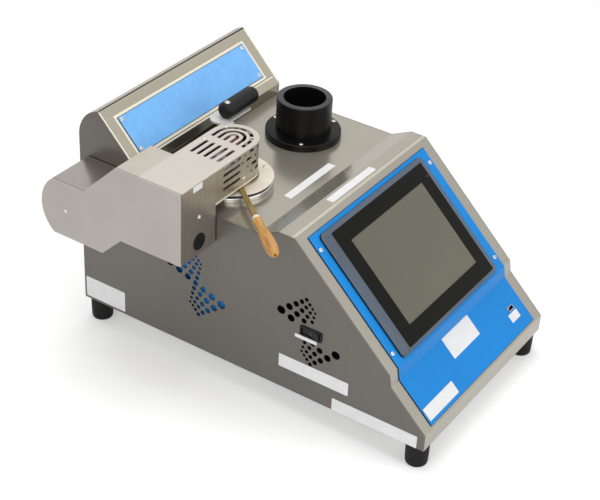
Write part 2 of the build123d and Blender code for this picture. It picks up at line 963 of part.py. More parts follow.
with BuildPart() as switch_frame:
    with BuildSketch(side_plane(-side_x)):
        with Locations((switch_y, switch_z)):
            RectangleRounded(switch_length, switch_height, switch_corner)
    extrude(amount=-switch_flange)
    with BuildSketch(side_plane(-side_x)):
        with Locations((switch_y, switch_z)):
            Rectangle(
                switch_opening_length + 2 * switch_wall,
                switch_opening_height + 2 * switch_wall,
            )
    extrude(amount=switch_body_depth)
    with BuildSketch(side_plane(-side_x - switch_flange)):
        with Locations((switch_y, switch_z)):
            Rectangle(switch_opening_length, switch_opening_height)
    extrude(amount=switch_flange + switch_body_depth - switch_wall, mode=Mode.SUBTRACT)
    with BuildSketch(plan(switch_z)):
        with Locations((rocker_pivot_x, switch_y)):
            Circle(rocker_pin_radius + running_gap)
    extrude(
        amount=switch_opening_height / 2 + rocker_pin_reach + fit_gap,
        both=True,
        mode=Mode.SUBTRACT,
    )
write(switch_frame, "switch_frame")

rocker_plane = Plane(
    origin=(middle_x + rocker_pivot_x, front_y + switch_y, switch_z),
    x_dir=(math.sin(math.radians(rocker_tilt)), math.cos(math.radians(rocker_tilt)), 0),
    z_dir=(0, 0, 1),
)
with BuildPart() as switch_rocker:
    with BuildSketch(rocker_plane):
        with BuildLine():
            Polyline(
                (-rocker_end, rocker_end_rise),
                (0, rocker_dip_rise),
                (rocker_end, rocker_end_rise),
            )
            ThreePointArc(
                (rocker_end, rocker_end_rise),
                (rocker_radius, 0),
                (rocker_base, -rocker_base_depth),
            )
            Line((rocker_base, -rocker_base_depth), (-rocker_base, -rocker_base_depth))
            ThreePointArc(
                (-rocker_base, -rocker_base_depth),
                (-rocker_radius, 0),
                (-rocker_end, rocker_end_rise),
            )
        make_face()
    extrude(amount=rocker_height / 2, both=True)
    with BuildSketch(rocker_plane):
        Circle(rocker_pin_radius)
    extrude(amount=switch_opening_height / 2 + rocker_pin_reach, both=True)
write(switch_rocker, "switch_rocker")

# ----------------------------------------------------------------------------
# Test bath, cup and cup stand
# ----------------------------------------------------------------------------
with BuildPart() as bath_block:
    with BuildSketch(plan(collar_top)):
        with Locations((bath_x, bath_y)):
            Circle(bath_block_radius)
    extrude(amount=-bath_block_depth)
    with BuildSketch(plan(collar_top)):
        with Locations((bath_x, bath_y)):
            Circle(cup_bore_radius)
    extrude(amount=cup_rim - cup_depth - radial_gap - collar_top, mode=Mode.SUBTRACT)
write(bath_block, "bath_block")

with BuildPart() as bath_insulation:
    with BuildSketch(plan(under_deck)):
        with Locations((bath_x, bath_y)):
            Circle(insulation_radius)
            Circle(bath_block_radius, mode=Mode.SUBTRACT)
    extrude(amount=-insulation_height)
write(bath_insulation, "bath_insulation")

with BuildPart() as bath_collar:
    with BuildSketch(plan(deck_z)):
        with Locations((bath_x, bath_y)):
            Circle(collar_radius)
            Circle(bath_block_radius, mode=Mode.SUBTRACT)
    extrude(amount=collar_height)
    rim = bath_collar.edges().filter_by(GeomType.CIRCLE).group_by(Axis.Z)[-1]
    fillet(rim.sort_by(lambda edge: edge.radius)[-1], collar_rounding)
write(bath_collar, "bath_collar")

with BuildPart() as bath_gasket:
    with BuildSketch(plan(collar_top)):
        with Locations((bath_x, bath_y)):
            Circle(gasket_radius)
            Circle(cup_bore_radius, mode=Mode.SUBTRACT)
        with Locations(*plate_screws_at):
            Circle(screw_head_radius, mode=Mode.SUBTRACT)
    extrude(amount=gasket_height)
write(bath_gasket, "bath_gasket")

with BuildPart() as bath_plate:
    with BuildSketch(plan(plate_bottom)):
        with Locations((bath_x, bath_y)):
            Circle(bath_plate_radius)
            Circle(cup_bore_radius, mode=Mode.SUBTRACT)
        with Locations(*plate_screws_at):
            Circle(screw_shank_radius, mode=Mode.SUBTRACT)
    extrude(amount=bath_plate_thickness)
    rims = bath_plate.edges().filter_by(GeomType.CIRCLE)
    outer_rims = rims.filter_by(lambda edge: edge.radius > gasket_radius)
    fillet(outer_rims, bath_plate_rounding)
write(bath_plate, "bath_plate")

with BuildPart() as test_cup:
    with BuildSketch(plan(cup_rim)):
        with Locations((bath_x, bath_y)):
            Circle(cup_radius)
    extrude(amount=-cup_depth)
    floor_edge = test_cup.edges().filter_by(GeomType.CIRCLE).sort_by(Axis.Z)[0]
    fillet(floor_edge, cup_floor_rounding)
    with BuildSketch(plan(plate_top)):
        with Locations((bath_x, bath_y)):
            Circle(cup_flange_radius)
    extrude(amount=cup_flange_thickness)
    with BuildSketch(plan(cup_rim)):
        with Locations((bath_x, bath_y)):
            Circle(cup_radius - cup_wall)
    extrude(amount=cup_wall - cup_depth, mode=Mode.SUBTRACT)
write(test_cup, "test_cup")

with BuildPart() as cup_handle_bar:
    with BuildSketch(handle_plan):
        with Locations((bar_end / 2, 0)):
            Rectangle(bar_end, bar_width)
        Circle(cup_flange_radius, mode=Mode.SUBTRACT)
    extrude(amount=bar_thickness)
write(cup_handle_bar, "cup_handle_bar")

with BuildPart() as handle_ferrule:
    with BuildSketch(handle_section):
        with Locations((bar_end + ferrule_length / 2, ferrule_radius / 2)):
            Rectangle(ferrule_length, ferrule_radius)
    revolve(axis=handle_axis)
    ferrule_rims = handle_ferrule.edges().filter_by(GeomType.CIRCLE)
    fillet(ferrule_rims, radial_gap)
write(handle_ferrule, "handle_ferrule")

with BuildPart() as wooden_handle:
    with BuildSketch(handle_section):
        with BuildLine():
            Line((wood_start, 0), (wood_start, ferrule_radius))
            Spline(
                (wood_start, ferrule_radius),
                (wood_start + wood_bead_at, wood_bead_radius),
                (wood_start + wood_neck_at, wood_neck_radius),
                (wood_start + wood_swell_at, wood_swell_radius),
                (wood_start + wood_length - wood_end_length, wood_end_radius),
            )
            ThreePointArc(
                (wood_start + wood_length - wood_end_length, wood_end_radius),
                (wood_start + wood_length - wood_end_length / 4, wood_end_radius * 3 / 4),
                (wood_start + wood_length, wood_hole_radius),
            )
            Polyline(
                (wood_start + wood_length, wood_hole_radius),
                (wood_start + wood_length - wood_hole_depth, wood_hole_radius),
                (wood_start + wood_length - wood_hole_depth, 0),
                (wood_start, 0),
            )
        make_face()
    revolve(axis=handle_axis)
write(wooden_handle, "wooden_handle")

with BuildPart() as cup_stand:
    with BuildSketch(plan(deck_z)):
        with Locations((stand_x, stand_y)):
            Circle(stand_flange_radius)
    extrude(amount=stand_flange_thickness)
    with BuildSketch(plan(stand_flange_top)):
        with Locations((stand_x, stand_y)):
            Circle(stand_radius)
    extrude(amount=stand_height - stand_flange_thickness)
    outer_edges = cup_stand.edges().filter_by(GeomType.CIRCLE).group_by(Axis.Z)
    fillet(outer_edges[-1], stand_rounding)
    flange_edges = cup_stand.edges().filter_by(GeomType.CIRCLE)
    flange_edges = flange_edges.filter_by(lambda edge: edge.radius > stand_radius + stand_rounding)
    fillet(flange_edges.sort_by(Axis.Z)[-1], stand_rounding)
    with BuildSketch(plan(deck_z)):
        with Locations((stand_x, stand_y)):
            Circle(stand_bore_radius)
        with Locations(*stand_screws_at):
            Circle(screw_shank_radius)
    extrude(amount=stand_height, mode=Mode.SUBTRACT)
write(cup_stand, "cup_stand")

with BuildPart() as deck_screws:
    stand_screws(plan(plate_top), plate_screws_at)
    stand_screws(plan(stand_flange_top), stand_screws_at)
write(deck_screws, "deck_screws")

# ----------------------------------------------------------------------------
# Pivot between the cabinet and the head
# ----------------------------------------------------------------------------
with BuildPart() as pivot_shaft:
    with BuildSketch(side_plane(-side_x)):
        with Locations((pivot_y, hub_middle)):
            Circle(shaft_flange_radius)
    extrude(amount=-shaft_flange_thickness)
    with BuildSketch(side_plane(shaft_flange_face)):
        with Locations((pivot_y, hub_middle)):
            Circle(shaft_radius)
    extrude(amount=shaft_end - shaft_flange_face)
    with BuildSketch(side_plane(-side_x)):
        with Locations((pivot_y, hub_middle)):
            Circle(spigot_radius)
    extrude(amount=sheet + backing_thickness)
write(pivot_shaft, "pivot_shaft")

with BuildPart() as pivot_backing:
    with BuildSketch(side_plane(-inner_half)):
        with Locations((pivot_y, hub_middle)):
            Circle(backing_radius)
            Circle(spigot_radius, mode=Mode.SUBTRACT)
    extrude(amount=backing_thickness)
write(pivot_backing, "pivot_backing")

with BuildPart() as pivot_retainer:
    with BuildSketch(side_plane(retainer_start)):
        with Locations((pivot_y, hub_middle)):
            Circle(retainer_radius)
            Circle(shaft_radius, mode=Mode.SUBTRACT)
    extrude(amount=-retainer_thickness)
write(pivot_retainer, "pivot_retainer")

with BuildPart() as pivot_bush:
    with BuildSketch(side_plane(head_right)):
        with Locations((pivot_y, hub_middle)):
            Circle(shaft_radius + bush_wall)
            Circle(shaft_radius + running_gap, mode=Mode.SUBTRACT)
    extrude(amount=-bush_length)
write(pivot_bush, "pivot_bush")

# ----------------------------------------------------------------------------
# Swinging head
# ----------------------------------------------------------------------------
with BuildPart() as head_frame:
    with BuildSketch(side_plane(head_right)):
        with BuildLine():
            head_outline()
        make_face()
        with Locations((bath_y, head_top)):
            Rectangle(2 * nose_radius, 2 * sheet, mode=Mode.SUBTRACT)
        with Locations((pivot_y, hub_middle)):
            Circle(shaft_radius + bush_wall, mode=Mode.SUBTRACT)
    extrude(amount=-inner_plate)
    with BuildSketch(plan(nose_bottom)):
        with BuildLine():
            nose_outline(wall_radius - nose_wall_thickness, head_right)
        make_face()
        with Locations((bath_x, bath_y)):
            Circle(lid_boss_radius, mode=Mode.SUBTRACT)
    extrude(amount=nose_floor_thickness)
write(head_frame, "head_frame")

plate_back = head_left + side_plate_thickness

with BuildPart() as head_side_plate:
    with BuildSketch(side_plane(head_left)):
        with BuildLine():
            head_outline()
        make_face()
    extrude(amount=side_plate_thickness)
    outer_rim = head_side_plate.faces().sort_by(Axis.X)[0].outer_wire().edges()
    fillet(outer_rim, rim_rounding)
    with BuildSketch(side_plane(plate_back)):
        with BuildLine():
            head_outline()
        make_face()
        offset(amount=-sheet, mode=Mode.REPLACE)
        offset(amount=-sheet, mode=Mode.SUBTRACT)
    extrude(amount=side_plate_flange)
write(head_side_plate, "head_side_plate")

cover_start = plate_back + side_plate_seam
cover_length = head_right - inner_plate - cover_start

with BuildPart() as head_cover:
    with BuildSketch(side_plane(cover_start)):
        with BuildLine():
            head_outline()
        make_face()
        offset(amount=-sheet, mode=Mode.SUBTRACT)
        with Locations((bath_y, head_top)):
            Rectangle(2 * nose_radius, 2 * sheet, mode=Mode.SUBTRACT)
    extrude(amount=cover_length)
    with BuildSketch(front_plane(head_front)):
        with Locations((plug_x, plug_z)):
            Circle(plug_barrel_radius)
        with Locations((plug_x, lamp_z)):
            Circle(lamp_radius)
    extrude(amount=-sheet, mode=Mode.SUBTRACT)
write(head_cover, "head_cover")

with BuildPart() as nose_cover:
    with BuildSketch(plan(cover_underside)):
        with BuildLine():
            nose_outline(nose_radius, cover_start)
        make_face()
        slot_middle = bath_x + (nose_slot_start + nose_slot_end) / 2
        slot_length = nose_slot_end - nose_slot_start
        with Locations((slot_middle, bath_y)):
            with GridLocations(0, nose_slot_pitch, 1, nose_slot_count):
                SlotOverall(slot_length, nose_slot_width, mode=Mode.SUBTRACT)
        arc_start = bath_x + nose_arc_start
        for radius in nose_arc_radii:
            inner = radius - nose_slot_width / 2
            outer = radius + nose_slot_width / 2
            with BuildLine():
                Polyline(
                    (bath_x, bath_y + outer),
                    (arc_start, bath_y + outer),
                    (arc_start, bath_y + inner),
                    (bath_x, bath_y + inner),
                )
                ThreePointArc(
                    (bath_x, bath_y + inner),
                    (bath_x + inner, bath_y),
                    (bath_x, bath_y - inner),
                )
                Polyline(
                    (bath_x, bath_y - inner),
                    (arc_start, bath_y - inner),
                    (arc_start, bath_y - outer),
                    (bath_x, bath_y - outer),
                )
                ThreePointArc(
                    (bath_x, bath_y - outer),
                    (bath_x + outer, bath_y),
                    (bath_x, bath_y + outer),
                )
            make_face(mode=Mode.SUBTRACT)
        with Locations(*nose_screws_at):
            Circle(screw_shank_radius, mode=Mode.SUBTRACT)
    extrude(amount=sheet)
    web_middle = around(bath_x, bath_y, nose_arc_radii[0], nose_arc_web_angle)
    web_plane = Plane(
        origin=(middle_x + web_middle[0], front_y + web_middle[1], cover_underside),
        x_dir=(
            math.cos(math.radians(nose_arc_web_angle)),
            math.sin(math.radians(nose_arc_web_angle)),
            0,
        ),
        z_dir=(0, 0, 1),
    )
    with BuildSketch(web_plane):
        Rectangle(nose_slot_width + sheet, nose_arc_web)
    extrude(amount=sheet)
write(nose_cover, "nose_cover")

brick_planes = []
hole_planes = []
for row, first_brick in enumerate(wall_brick_starts):
    row_z = wall_slot_top - row * wall_slot_pitch
    for brick in range(wall_brick_count):
        along = first_brick + brick * wall_brick_pitch
        brick_planes.append(on_nose_wall(along, row_z))
        hole_planes.append(on_nose_wall(along - wall_hole_lead, row_z))

with BuildPart() as nose_wall:
    with BuildSketch(plan(nose_bottom)):
        with BuildLine():
            nose_outline(wall_radius, head_right)
        make_face()
    extrude(amount=cover_underside - nose_bottom)
    with BuildSketch(plan(nose_bottom)):
        with BuildLine():
            nose_outline(nose_radius, head_right)
        make_face()
    extrude(amount=nose_hem_height)
    with BuildSketch(plan(nose_bottom)):
        with BuildLine():
            nose_outline(wall_radius - nose_wall_thickness, head_right)
        make_face()
    extrude(amount=cover_underside - nose_bottom, mode=Mode.SUBTRACT)
    with BuildSketch(*brick_planes):
        SlotOverall(wall_brick_length, wall_brick_height)
    extrude(amount=2 * nose_wall_thickness, both=True, mode=Mode.SUBTRACT)
    with BuildSketch(*hole_planes):
        Circle(wall_hole_radius)
    extrude(amount=2 * nose_wall_thickness, both=True, mode=Mode.SUBTRACT)
    with BuildSketch(front_plane(bath_y)):
        with Locations((bath_x + (wall_slot_start + wall_slot_end) / 2, wall_slot_top)):
            for row in range(len(wall_brick_starts)):
                with Locations((0, -row * wall_slot_pitch)):
                    SlotOverall(wall_slot_end - wall_slot_start, wall_slot_height)
        with Locations(front_screw_at):
            Circle(screw_shank_radius)
    extrude(amount=2 * nose_radius, mode=Mode.SUBTRACT)
write(nose_wall, "nose_wall")

with BuildPart() as nose_screws:
    stand_screws(plan(head_top), nose_screws_at)
    stand_screws(front_plane(bath_y - wall_radius), [front_screw_at])
write(nose_screws, "nose_screws")

with BuildPart() as head_plug:
    with BuildSketch(front_plane(head_front)):
        with Locations((plug_x, plug_z)):
            Circle(plug_radius)
    extrude(amount=plug_flange)
    plug_rim = head_plug.edges().filter_by(GeomType.CIRCLE).sort_by(Axis.Y)[0]
    fillet(plug_rim, plug_flange / 2)
    with BuildSketch(front_plane(head_front)):
        with Locations((plug_x, plug_z)):
            Circle(plug_barrel_radius)
    extrude(amount=-plug_barrel_depth)
write(head_plug, "head_plug")

with BuildPart() as head_lamp:
    with BuildSketch(front_plane(head_front)):
        with Locations((plug_x, lamp_z)):
            Circle(lamp_radius)
    extrude(amount=lamp_proud)
    lamp_rim = head_lamp.edges().filter_by(GeomType.CIRCLE).sort_by(Axis.Y)[0]
    fillet(lamp_rim, lamp_proud / 2)
    with BuildSketch(front_plane(head_front)):
        with Locations((plug_x, lamp_z)):
            Circle(lamp_radius)
    extrude(amount=-lamp_depth)
write(head_lamp, "head_lamp")

with BuildPart() as pivot_screw:
    with BuildSketch(side_plane(head_left)):
        with Locations((pivot_y, hub_middle)):
            Circle(pivot_screw_radius)
    extrude(amount=-pivot_screw_proud)
write(pivot_screw, "pivot_screw")

# ----------------------------------------------------------------------------
# Grip and its bracket behind the nose
# ----------------------------------------------------------------------------
with BuildPart() as handle_bracket:
    with BuildSketch(plan(bracket_bottom)):
        strip_length = bracket_round_x - bracket_strip_start
        strip_width = bracket_strip_end - wall_back
        with Locations((bracket_strip_start + strip_length / 2, wall_back + strip_width / 2)):
            Rectangle(strip_length, strip_width)
        pad_length = bracket_pad_end - bracket_round_x
        with Locations((bracket_round_x + pad_length / 2, bracket_middle)):
            Rectangle(pad_length, 2 * bracket_round)
        with Locations((bracket_round_x, bracket_middle)):
            Circle(bracket_round)
        with Locations((grip_screw_x, grip_y)):
            Circle(screw_shank_radius, mode=Mode.SUBTRACT)
    extrude(amount=bracket_thickness)
    with BuildSketch(front_plane(wall_back)):
        flange_length = bracket_flange_end - bracket_strip_start
        with Locations(
            (
                bracket_strip_start + flange_length / 2,
                grip_seat - bracket_flange_drop / 2,
            )
        ):
            Rectangle(flange_length, bracket_flange_drop)
    extrude(amount=-bracket_thickness)
write(handle_bracket, "handle_bracket")

with BuildPart() as head_grip:
    with BuildSketch(side_plane(grip_start)):
        with Locations((grip_y, grip_z)):
            Circle(grip_radius)
    extrude(amount=grip_end - grip_start)
    end_rims = head_grip.edges().filter_by(GeomType.CIRCLE).sort_by(Axis.X)
    chamfer(end_rims[0], grip_chamfer)
    dome_rim = head_grip.edges().filter_by(GeomType.CIRCLE).sort_by(Axis.X)[-1]
    fillet(dome_rim, grip_dome)
    with BuildSketch(plan(grip_seat)):
        with Locations(((grip_start + grip_end) / 2, grip_y)):
            Rectangle(grip_end - grip_start, 2 * grip_radius)
    extrude(amount=-grip_radius, mode=Mode.SUBTRACT)
    with BuildSketch(plan(grip_seat)):
        with Locations((grip_screw_x, grip_y)):
            Circle(screw_shank_radius)
    extrude(amount=2 * grip_radius, mode=Mode.SUBTRACT)
    with BuildSketch(plan(grip_z + grip_radius - grip_washer_thickness)):
        with Locations((grip_screw_x, grip_y)):
            Circle(grip_washer_radius)
    extrude(amount=grip_radius, mode=Mode.SUBTRACT)
write(head_grip, "head_grip")

with BuildPart() as grip_screw:
    with BuildSketch(plan(grip_z + grip_radius - grip_washer_thickness)):
        with Locations((grip_screw_x, grip_y)):
            Circle(grip_washer_radius)
    extrude(amount=grip_washer_thickness)
    with BuildSketch(plan(grip_z + grip_radius)):
        with Locations((grip_screw_x, grip_y)):
            Circle(grip_screw_radius)
    extrude(amount=grip_screw_rise)
    with BuildSketch(plan(bracket_bottom)):
        with Locations((grip_screw_x, grip_y)):
            Circle(screw_shank_radius)
    extrude(amount=grip_z + grip_radius - grip_washer_thickness - bracket_bottom)
write(grip_screw, "grip_screw")

# ----------------------------------------------------------------------------
# Lid, probe, shutter and igniter inside the nose
# ----------------------------------------------------------------------------
with BuildPart() as test_lid:
    with BuildSketch(plan(lid_bottom)):
        with Locations((bath_x, bath_y)):
            Circle(lid_radius)
    extrude(amount=nose_bottom - lid_bottom)
    with BuildSketch(plan(nose_bottom)):
        with Locations((bath_x, bath_y)):
            Circle(lid_boss_radius)
    extrude(amount=lid_boss_height)
    with BuildSketch(plan(lid_bottom)):
        for angle in port_angles:
            with Locations(around(bath_x, bath_y, port_circle, angle)):
                Circle(port_radius)
        with Locations((bath_x, bath_y)):
            Circle(shutter_shaft_radius + running_gap)
        with Locations(probe_at):
            Circle(probe_radius)
    extrude(amount=lid_top - lid_bottom, mode=Mode.SUBTRACT)
write(test_lid, "test_lid")

with BuildPart() as temperature_probe:
    with BuildSketch(plan(lid_bottom - probe_dip)):
        with Locations(probe_at):
            Circle(probe_radius)
    extrude(amount=lid_top + probe_stand - lid_bottom + probe_dip)
    with BuildSketch(plan(lid_top)):
        with Locations(probe_at):
            Circle(probe_head_radius)
    extrude(amount=probe_stand)
write(temperature_probe, "temperature_probe")

with BuildPart() as shutter:
    with BuildSketch(plan(shutter_bottom)):
        with Locations((bath_x, bath_y)):
            Circle(shutter_radius)
        for angle in port_angles:
            start = angle - shutter_turn - shutter_window_half_angle
            end = angle - shutter_turn + shutter_window_half_angle
            inner_start = around(bath_x, bath_y, shutter_window_inner, start)
            inner_middle = around(bath_x, bath_y, shutter_window_inner, (start + end) / 2)
            inner_end = around(bath_x, bath_y, shutter_window_inner, end)
            outer_start = around(bath_x, bath_y, shutter_window_outer, start)
            outer_middle = around(bath_x, bath_y, shutter_window_outer, (start + end) / 2)
            outer_end = around(bath_x, bath_y, shutter_window_outer, end)
            with BuildLine():
                ThreePointArc(inner_start, inner_middle, inner_end)
                Line(inner_end, outer_end)
                ThreePointArc(outer_end, outer_middle, outer_start)
                Line(outer_start, inner_start)
            make_face(mode=Mode.SUBTRACT)
    extrude(amount=shutter_thickness)
    with BuildSketch(plan(lid_bottom)):
        with Locations((bath_x, bath_y)):
            Circle(shutter_shaft_radius)
    extrude(amount=bridge_top + motor_bore_depth - lid_bottom - fit_gap)
write(shutter, "shutter")

with BuildPart() as shutter_bridge:
    with BuildSketch(front_plane(bath_y + bridge_width / 2)):
        with BuildLine():
            Polyline(
                (bridge_riser - bridge_foot, nose_floor_top),
                (bridge_riser, nose_floor_top),
                (bridge_riser, bridge_level),
                (bridge_end, bridge_level),
                (bridge_end, bridge_top),
                (bridge_riser - bridge_thickness, bridge_top),
                (bridge_riser - bridge_thickness, nose_floor_top + bridge_thickness),
                (bridge_riser - bridge_foot, nose_floor_top + bridge_thickness),
                close=True,
            )
        make_face()
    extrude(amount=bridge_width)
    with BuildSketch(plan(bridge_level)):
        with Locations((bath_x, bath_y)):
            Circle(shutter_shaft_radius + running_gap)
        with Locations(igniter_at):
            Circle(igniter_radius + running_gap)
    extrude(amount=bridge_thickness, mode=Mode.SUBTRACT)
    with BuildSketch(plan(bridge_top)):
        with Locations(igniter_at):
            Circle(igniter_boss_radius)
            Circle(igniter_radius + running_gap, mode=Mode.SUBTRACT)
    extrude(amount=igniter_boss_height)
write(shutter_bridge, "shutter_bridge")

with BuildPart() as shutter_motor:
    with BuildSketch(plan(bridge_top)):
        with Locations((bath_x, bath_y)):
            Circle(motor_radius)
    extrude(amount=motor_height)
    with BuildSketch(plan(bridge_top)):
        with Locations((bath_x, bath_y)):
            Circle(shutter_shaft_radius + running_gap)
    extrude(amount=motor_bore_depth, mode=Mode.SUBTRACT)
write(shutter_motor, "shutter_motor")

igniter_head_bottom = bridge_top + igniter_boss_height + igniter_travel + fit_gap
with BuildPart() as igniter:
    with BuildSketch(plan(igniter_tip)):
        with Locations(igniter_at):
            Circle(igniter_radius)
    extrude(amount=igniter_head_bottom - igniter_tip)
    with BuildSketch(plan(igniter_head_bottom)):
        with Locations(igniter_at):
            Circle(igniter_head_radius)
    extrude(amount=igniter_head_height)
write(igniter, "igniter")

# ----------------------------------------------------------------------------
# Cooling fan and mains inlet in the rear panel
# ----------------------------------------------------------------------------
fan_rear = rear_inner
fan_front = fan_rear - fan_depth

with BuildPart() as fan_frame:
    with BuildSketch(front_plane(fan_rear)):
        with Locations((fan_x, fan_z)):
            RectangleRounded(fan_size, fan_size, fan_corner)
            Circle(fan_bore_radius, mode=Mode.SUBTRACT)
    extrude(amount=fan_depth)
    with BuildSketch(front_plane(fan_front + fan_spider_thickness)):
        with Locations((fan_x, fan_z)):
            Circle(fan_spider_radius)
            Rectangle(2 * fan_bore_radius, fan_spider_bar)
            Rectangle(fan_spider_bar, 2 * fan_bore_radius)
    extrude(amount=fan_spider_thickness)
    with BuildSketch(front_plane(fan_front + fan_spider_thickness)):
        with Locations((fan_x, fan_z)):
            Circle(fan_shaft_radius)
    extrude(amount=fan_spider_thickness + fit_gap - fan_depth)
    with BuildSketch(front_plane(fan_rear)):
        with Locations(*fan_screws_at):
            Circle(screw_shank_radius)
    extrude(amount=fan_depth, mode=Mode.SUBTRACT)
write(fan_frame, "fan_frame")

rotor_front = fan_front + fan_spider_thickness + radial_gap
rotor_length = fan_depth - fan_spider_thickness - 2 * radial_gap

with BuildPart() as fan_rotor:
    with BuildSketch(front_plane(rotor_front)):
        with Locations((fan_x, fan_z)):
            Circle(fan_hub_radius)
            Circle(fan_shaft_radius + running_gap, mode=Mode.SUBTRACT)
    extrude(amount=-rotor_length)
    blade_length = fan_rotor_radius - fan_hub_radius + radial_gap
    blade_middle = fan_hub_radius + (fan_rotor_radius - fan_hub_radius - radial_gap) / 2
    blade_planes = []
    for blade in range(fan_blades):
        turn = 2 * math.pi * blade / fan_blades
        across = (-math.sin(turn), 0, math.cos(turn))
        outward = (math.cos(turn), 0, math.sin(turn))
        sweep = math.radians(fan_blade_sweep)
        blade_planes.append(
            Plane(
                origin=(
                    middle_x + fan_x + blade_middle * outward[0],
                    front_y + rotor_front + rotor_length / 2,
                    fan_z + blade_middle * outward[2],
                ),
                x_dir=outward,
                z_dir=(
                    across[0] * math.cos(sweep),
                    math.sin(sweep),
                    across[2] * math.cos(sweep),
                ),
            )
        )
    with BuildSketch(*blade_planes):
        Rectangle(blade_length, fan_blade_chord)
    extrude(amount=fan_blade_thickness / 2, both=True)
write(fan_rotor, "fan_rotor")

with BuildPart() as fan_guard:
    with BuildSketch(front_plane(rear_outer)):
        with Locations((fan_x, fan_z)):
            for ring in range(1, guard_rings + 1):
                Circle(ring * guard_ring_pitch)
                Circle(ring * guard_ring_pitch - guard_bar, mode=Mode.SUBTRACT)
            Circle(guard_ring_pitch - guard_bar)
    extrude(amount=-guard_thickness)
    guard_reach = math.dist((fan_x, fan_z), fan_screws_at[0])
    with BuildSketch(front_plane(rear_outer)):
        with Locations((fan_x, fan_z)):
            with PolarLocations(0, 4, start_angle=45):
                with Locations((guard_reach / 2, 0)):
                    Rectangle(guard_reach, guard_bar)
        with Locations(*fan_screws_at):
            Circle(guard_ear_radius)
    extrude(amount=-guard_thickness)
    with BuildSketch(front_plane(rear_outer)):
        with Locations(*fan_screws_at):
            Circle(screw_shank_radius)
    extrude(amount=-guard_thickness, mode=Mode.SUBTRACT)
write(fan_guard, "fan_guard")

rear_facing = Plane(
    origin=(middle_x, front_y + rear_outer, 0),
    x_dir=(-1, 0, 0),
    z_dir=(0, 1, 0),
)
with BuildPart() as panel_screws:
    stand_screws(upper_slope.offset(overlay_thickness), front_screws_at)
    stand_screws(tower_slope.offset(overlay_thickness), tower_screws_at)
    stand_screws(rear_facing.offset(guard_thickness), [(-x, z) for x, z in fan_screws_at])
    stand_screws(
        rear_facing.offset(inlet_flange_thickness), [(-x, z) for x, z in inlet_screws_at]
    )
write(panel_screws, "panel_screws")

with BuildPart() as power_inlet:
    with BuildSketch(front_plane(rear_outer)):
        with Locations((inlet_x, inlet_z)):
            RectangleRounded(inlet_flange_width, inlet_flange_height, inlet_cavity_corner)
        with Locations(*inlet_screws_at):
            Circle(screw_shank_radius, mode=Mode.SUBTRACT)
    extrude(amount=-inlet_flange_thickness)
    with BuildSketch(front_plane(rear_outer)):
        with Locations((inlet_x, inlet_z)):
            Rectangle(inlet_body_width, inlet_body_height)
    extrude(amount=inlet_body_depth)
    with BuildSketch(front_plane(rear_outer + inlet_flange_thickness)):
        with Locations((inlet_x, inlet_z)):
            Rectangle(inlet_cavity_width, inlet_cavity_height)
    extrude(amount=inlet_cavity_depth, mode=Mode.SUBTRACT)
    with BuildSketch(front_plane(rear_outer + inlet_flange_thickness - inlet_cavity_depth)):
        with Locations(
            (inlet_x - pin_pitch, inlet_z - pin_rise),
            (inlet_x, inlet_z + pin_rise),
            (inlet_x + pin_pitch, inlet_z - pin_rise),
        ):
            Rectangle(pin_width, pin_height)
    extrude(amount=-pin_length)
write(power_inlet, "power_inlet")

# ----------------------------------------------------------------------------
# Inside the cabinet
# ----------------------------------------------------------------------------
with BuildPart() as power_supply:
    with BuildSketch(plan(tray_top)):
        with Locations(
            (
                supply_gap + supply_width / 2 - side_x,
                supply_start + supply_length / 2,
            )
        ):
            Rectangle(supply_width, supply_length)
    extrude(amount=supply_height)
write(power_supply, "power_supply")

baffle_y = vent_middle_y + vent_pair_pitch
with BuildPart() as air_baffle:
    with BuildSketch(side_plane(-inner_half + baffle_gap)):
        with Locations((baffle_y, vent_middle_z)):
            Rectangle(baffle_width, baffle_height)
    extrude(amount=baffle_sheet)
    with BuildSketch(side_plane(-inner_half)):
        for side in (-1, 1):
            with Locations((baffle_y, vent_middle_z + side * (baffle_height - baffle_sheet) / 2)):
                Rectangle(baffle_width, baffle_sheet)
    extrude(amount=baffle_gap)
write(air_baffle, "air_baffle")

with BuildPart() as controller_board:
    with BuildSketch(plan(tray_top + board_stand_height)):
        with Locations((board_x, board_y)):
            Rectangle(board_length, board_width)
    extrude(amount=board_thickness)
    with BuildSketch(plan(tray_top)):
        with Locations((board_x, board_y)):
            with GridLocations(
                board_length - 2 * board_stand_margin,
                board_width - 2 * board_stand_margin,
                2,
                2,
            ):
                Circle(board_stand_radius)
    extrude(amount=board_stand_height)
write(controller_board, "controller_board")
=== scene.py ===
import math

import bmesh
import bpy
from bpy.props import FloatProperty, FloatVectorProperty, IntProperty, PointerProperty
from bpy.types import Operator, Panel, PropertyGroup
from mathutils import Matrix, Vector


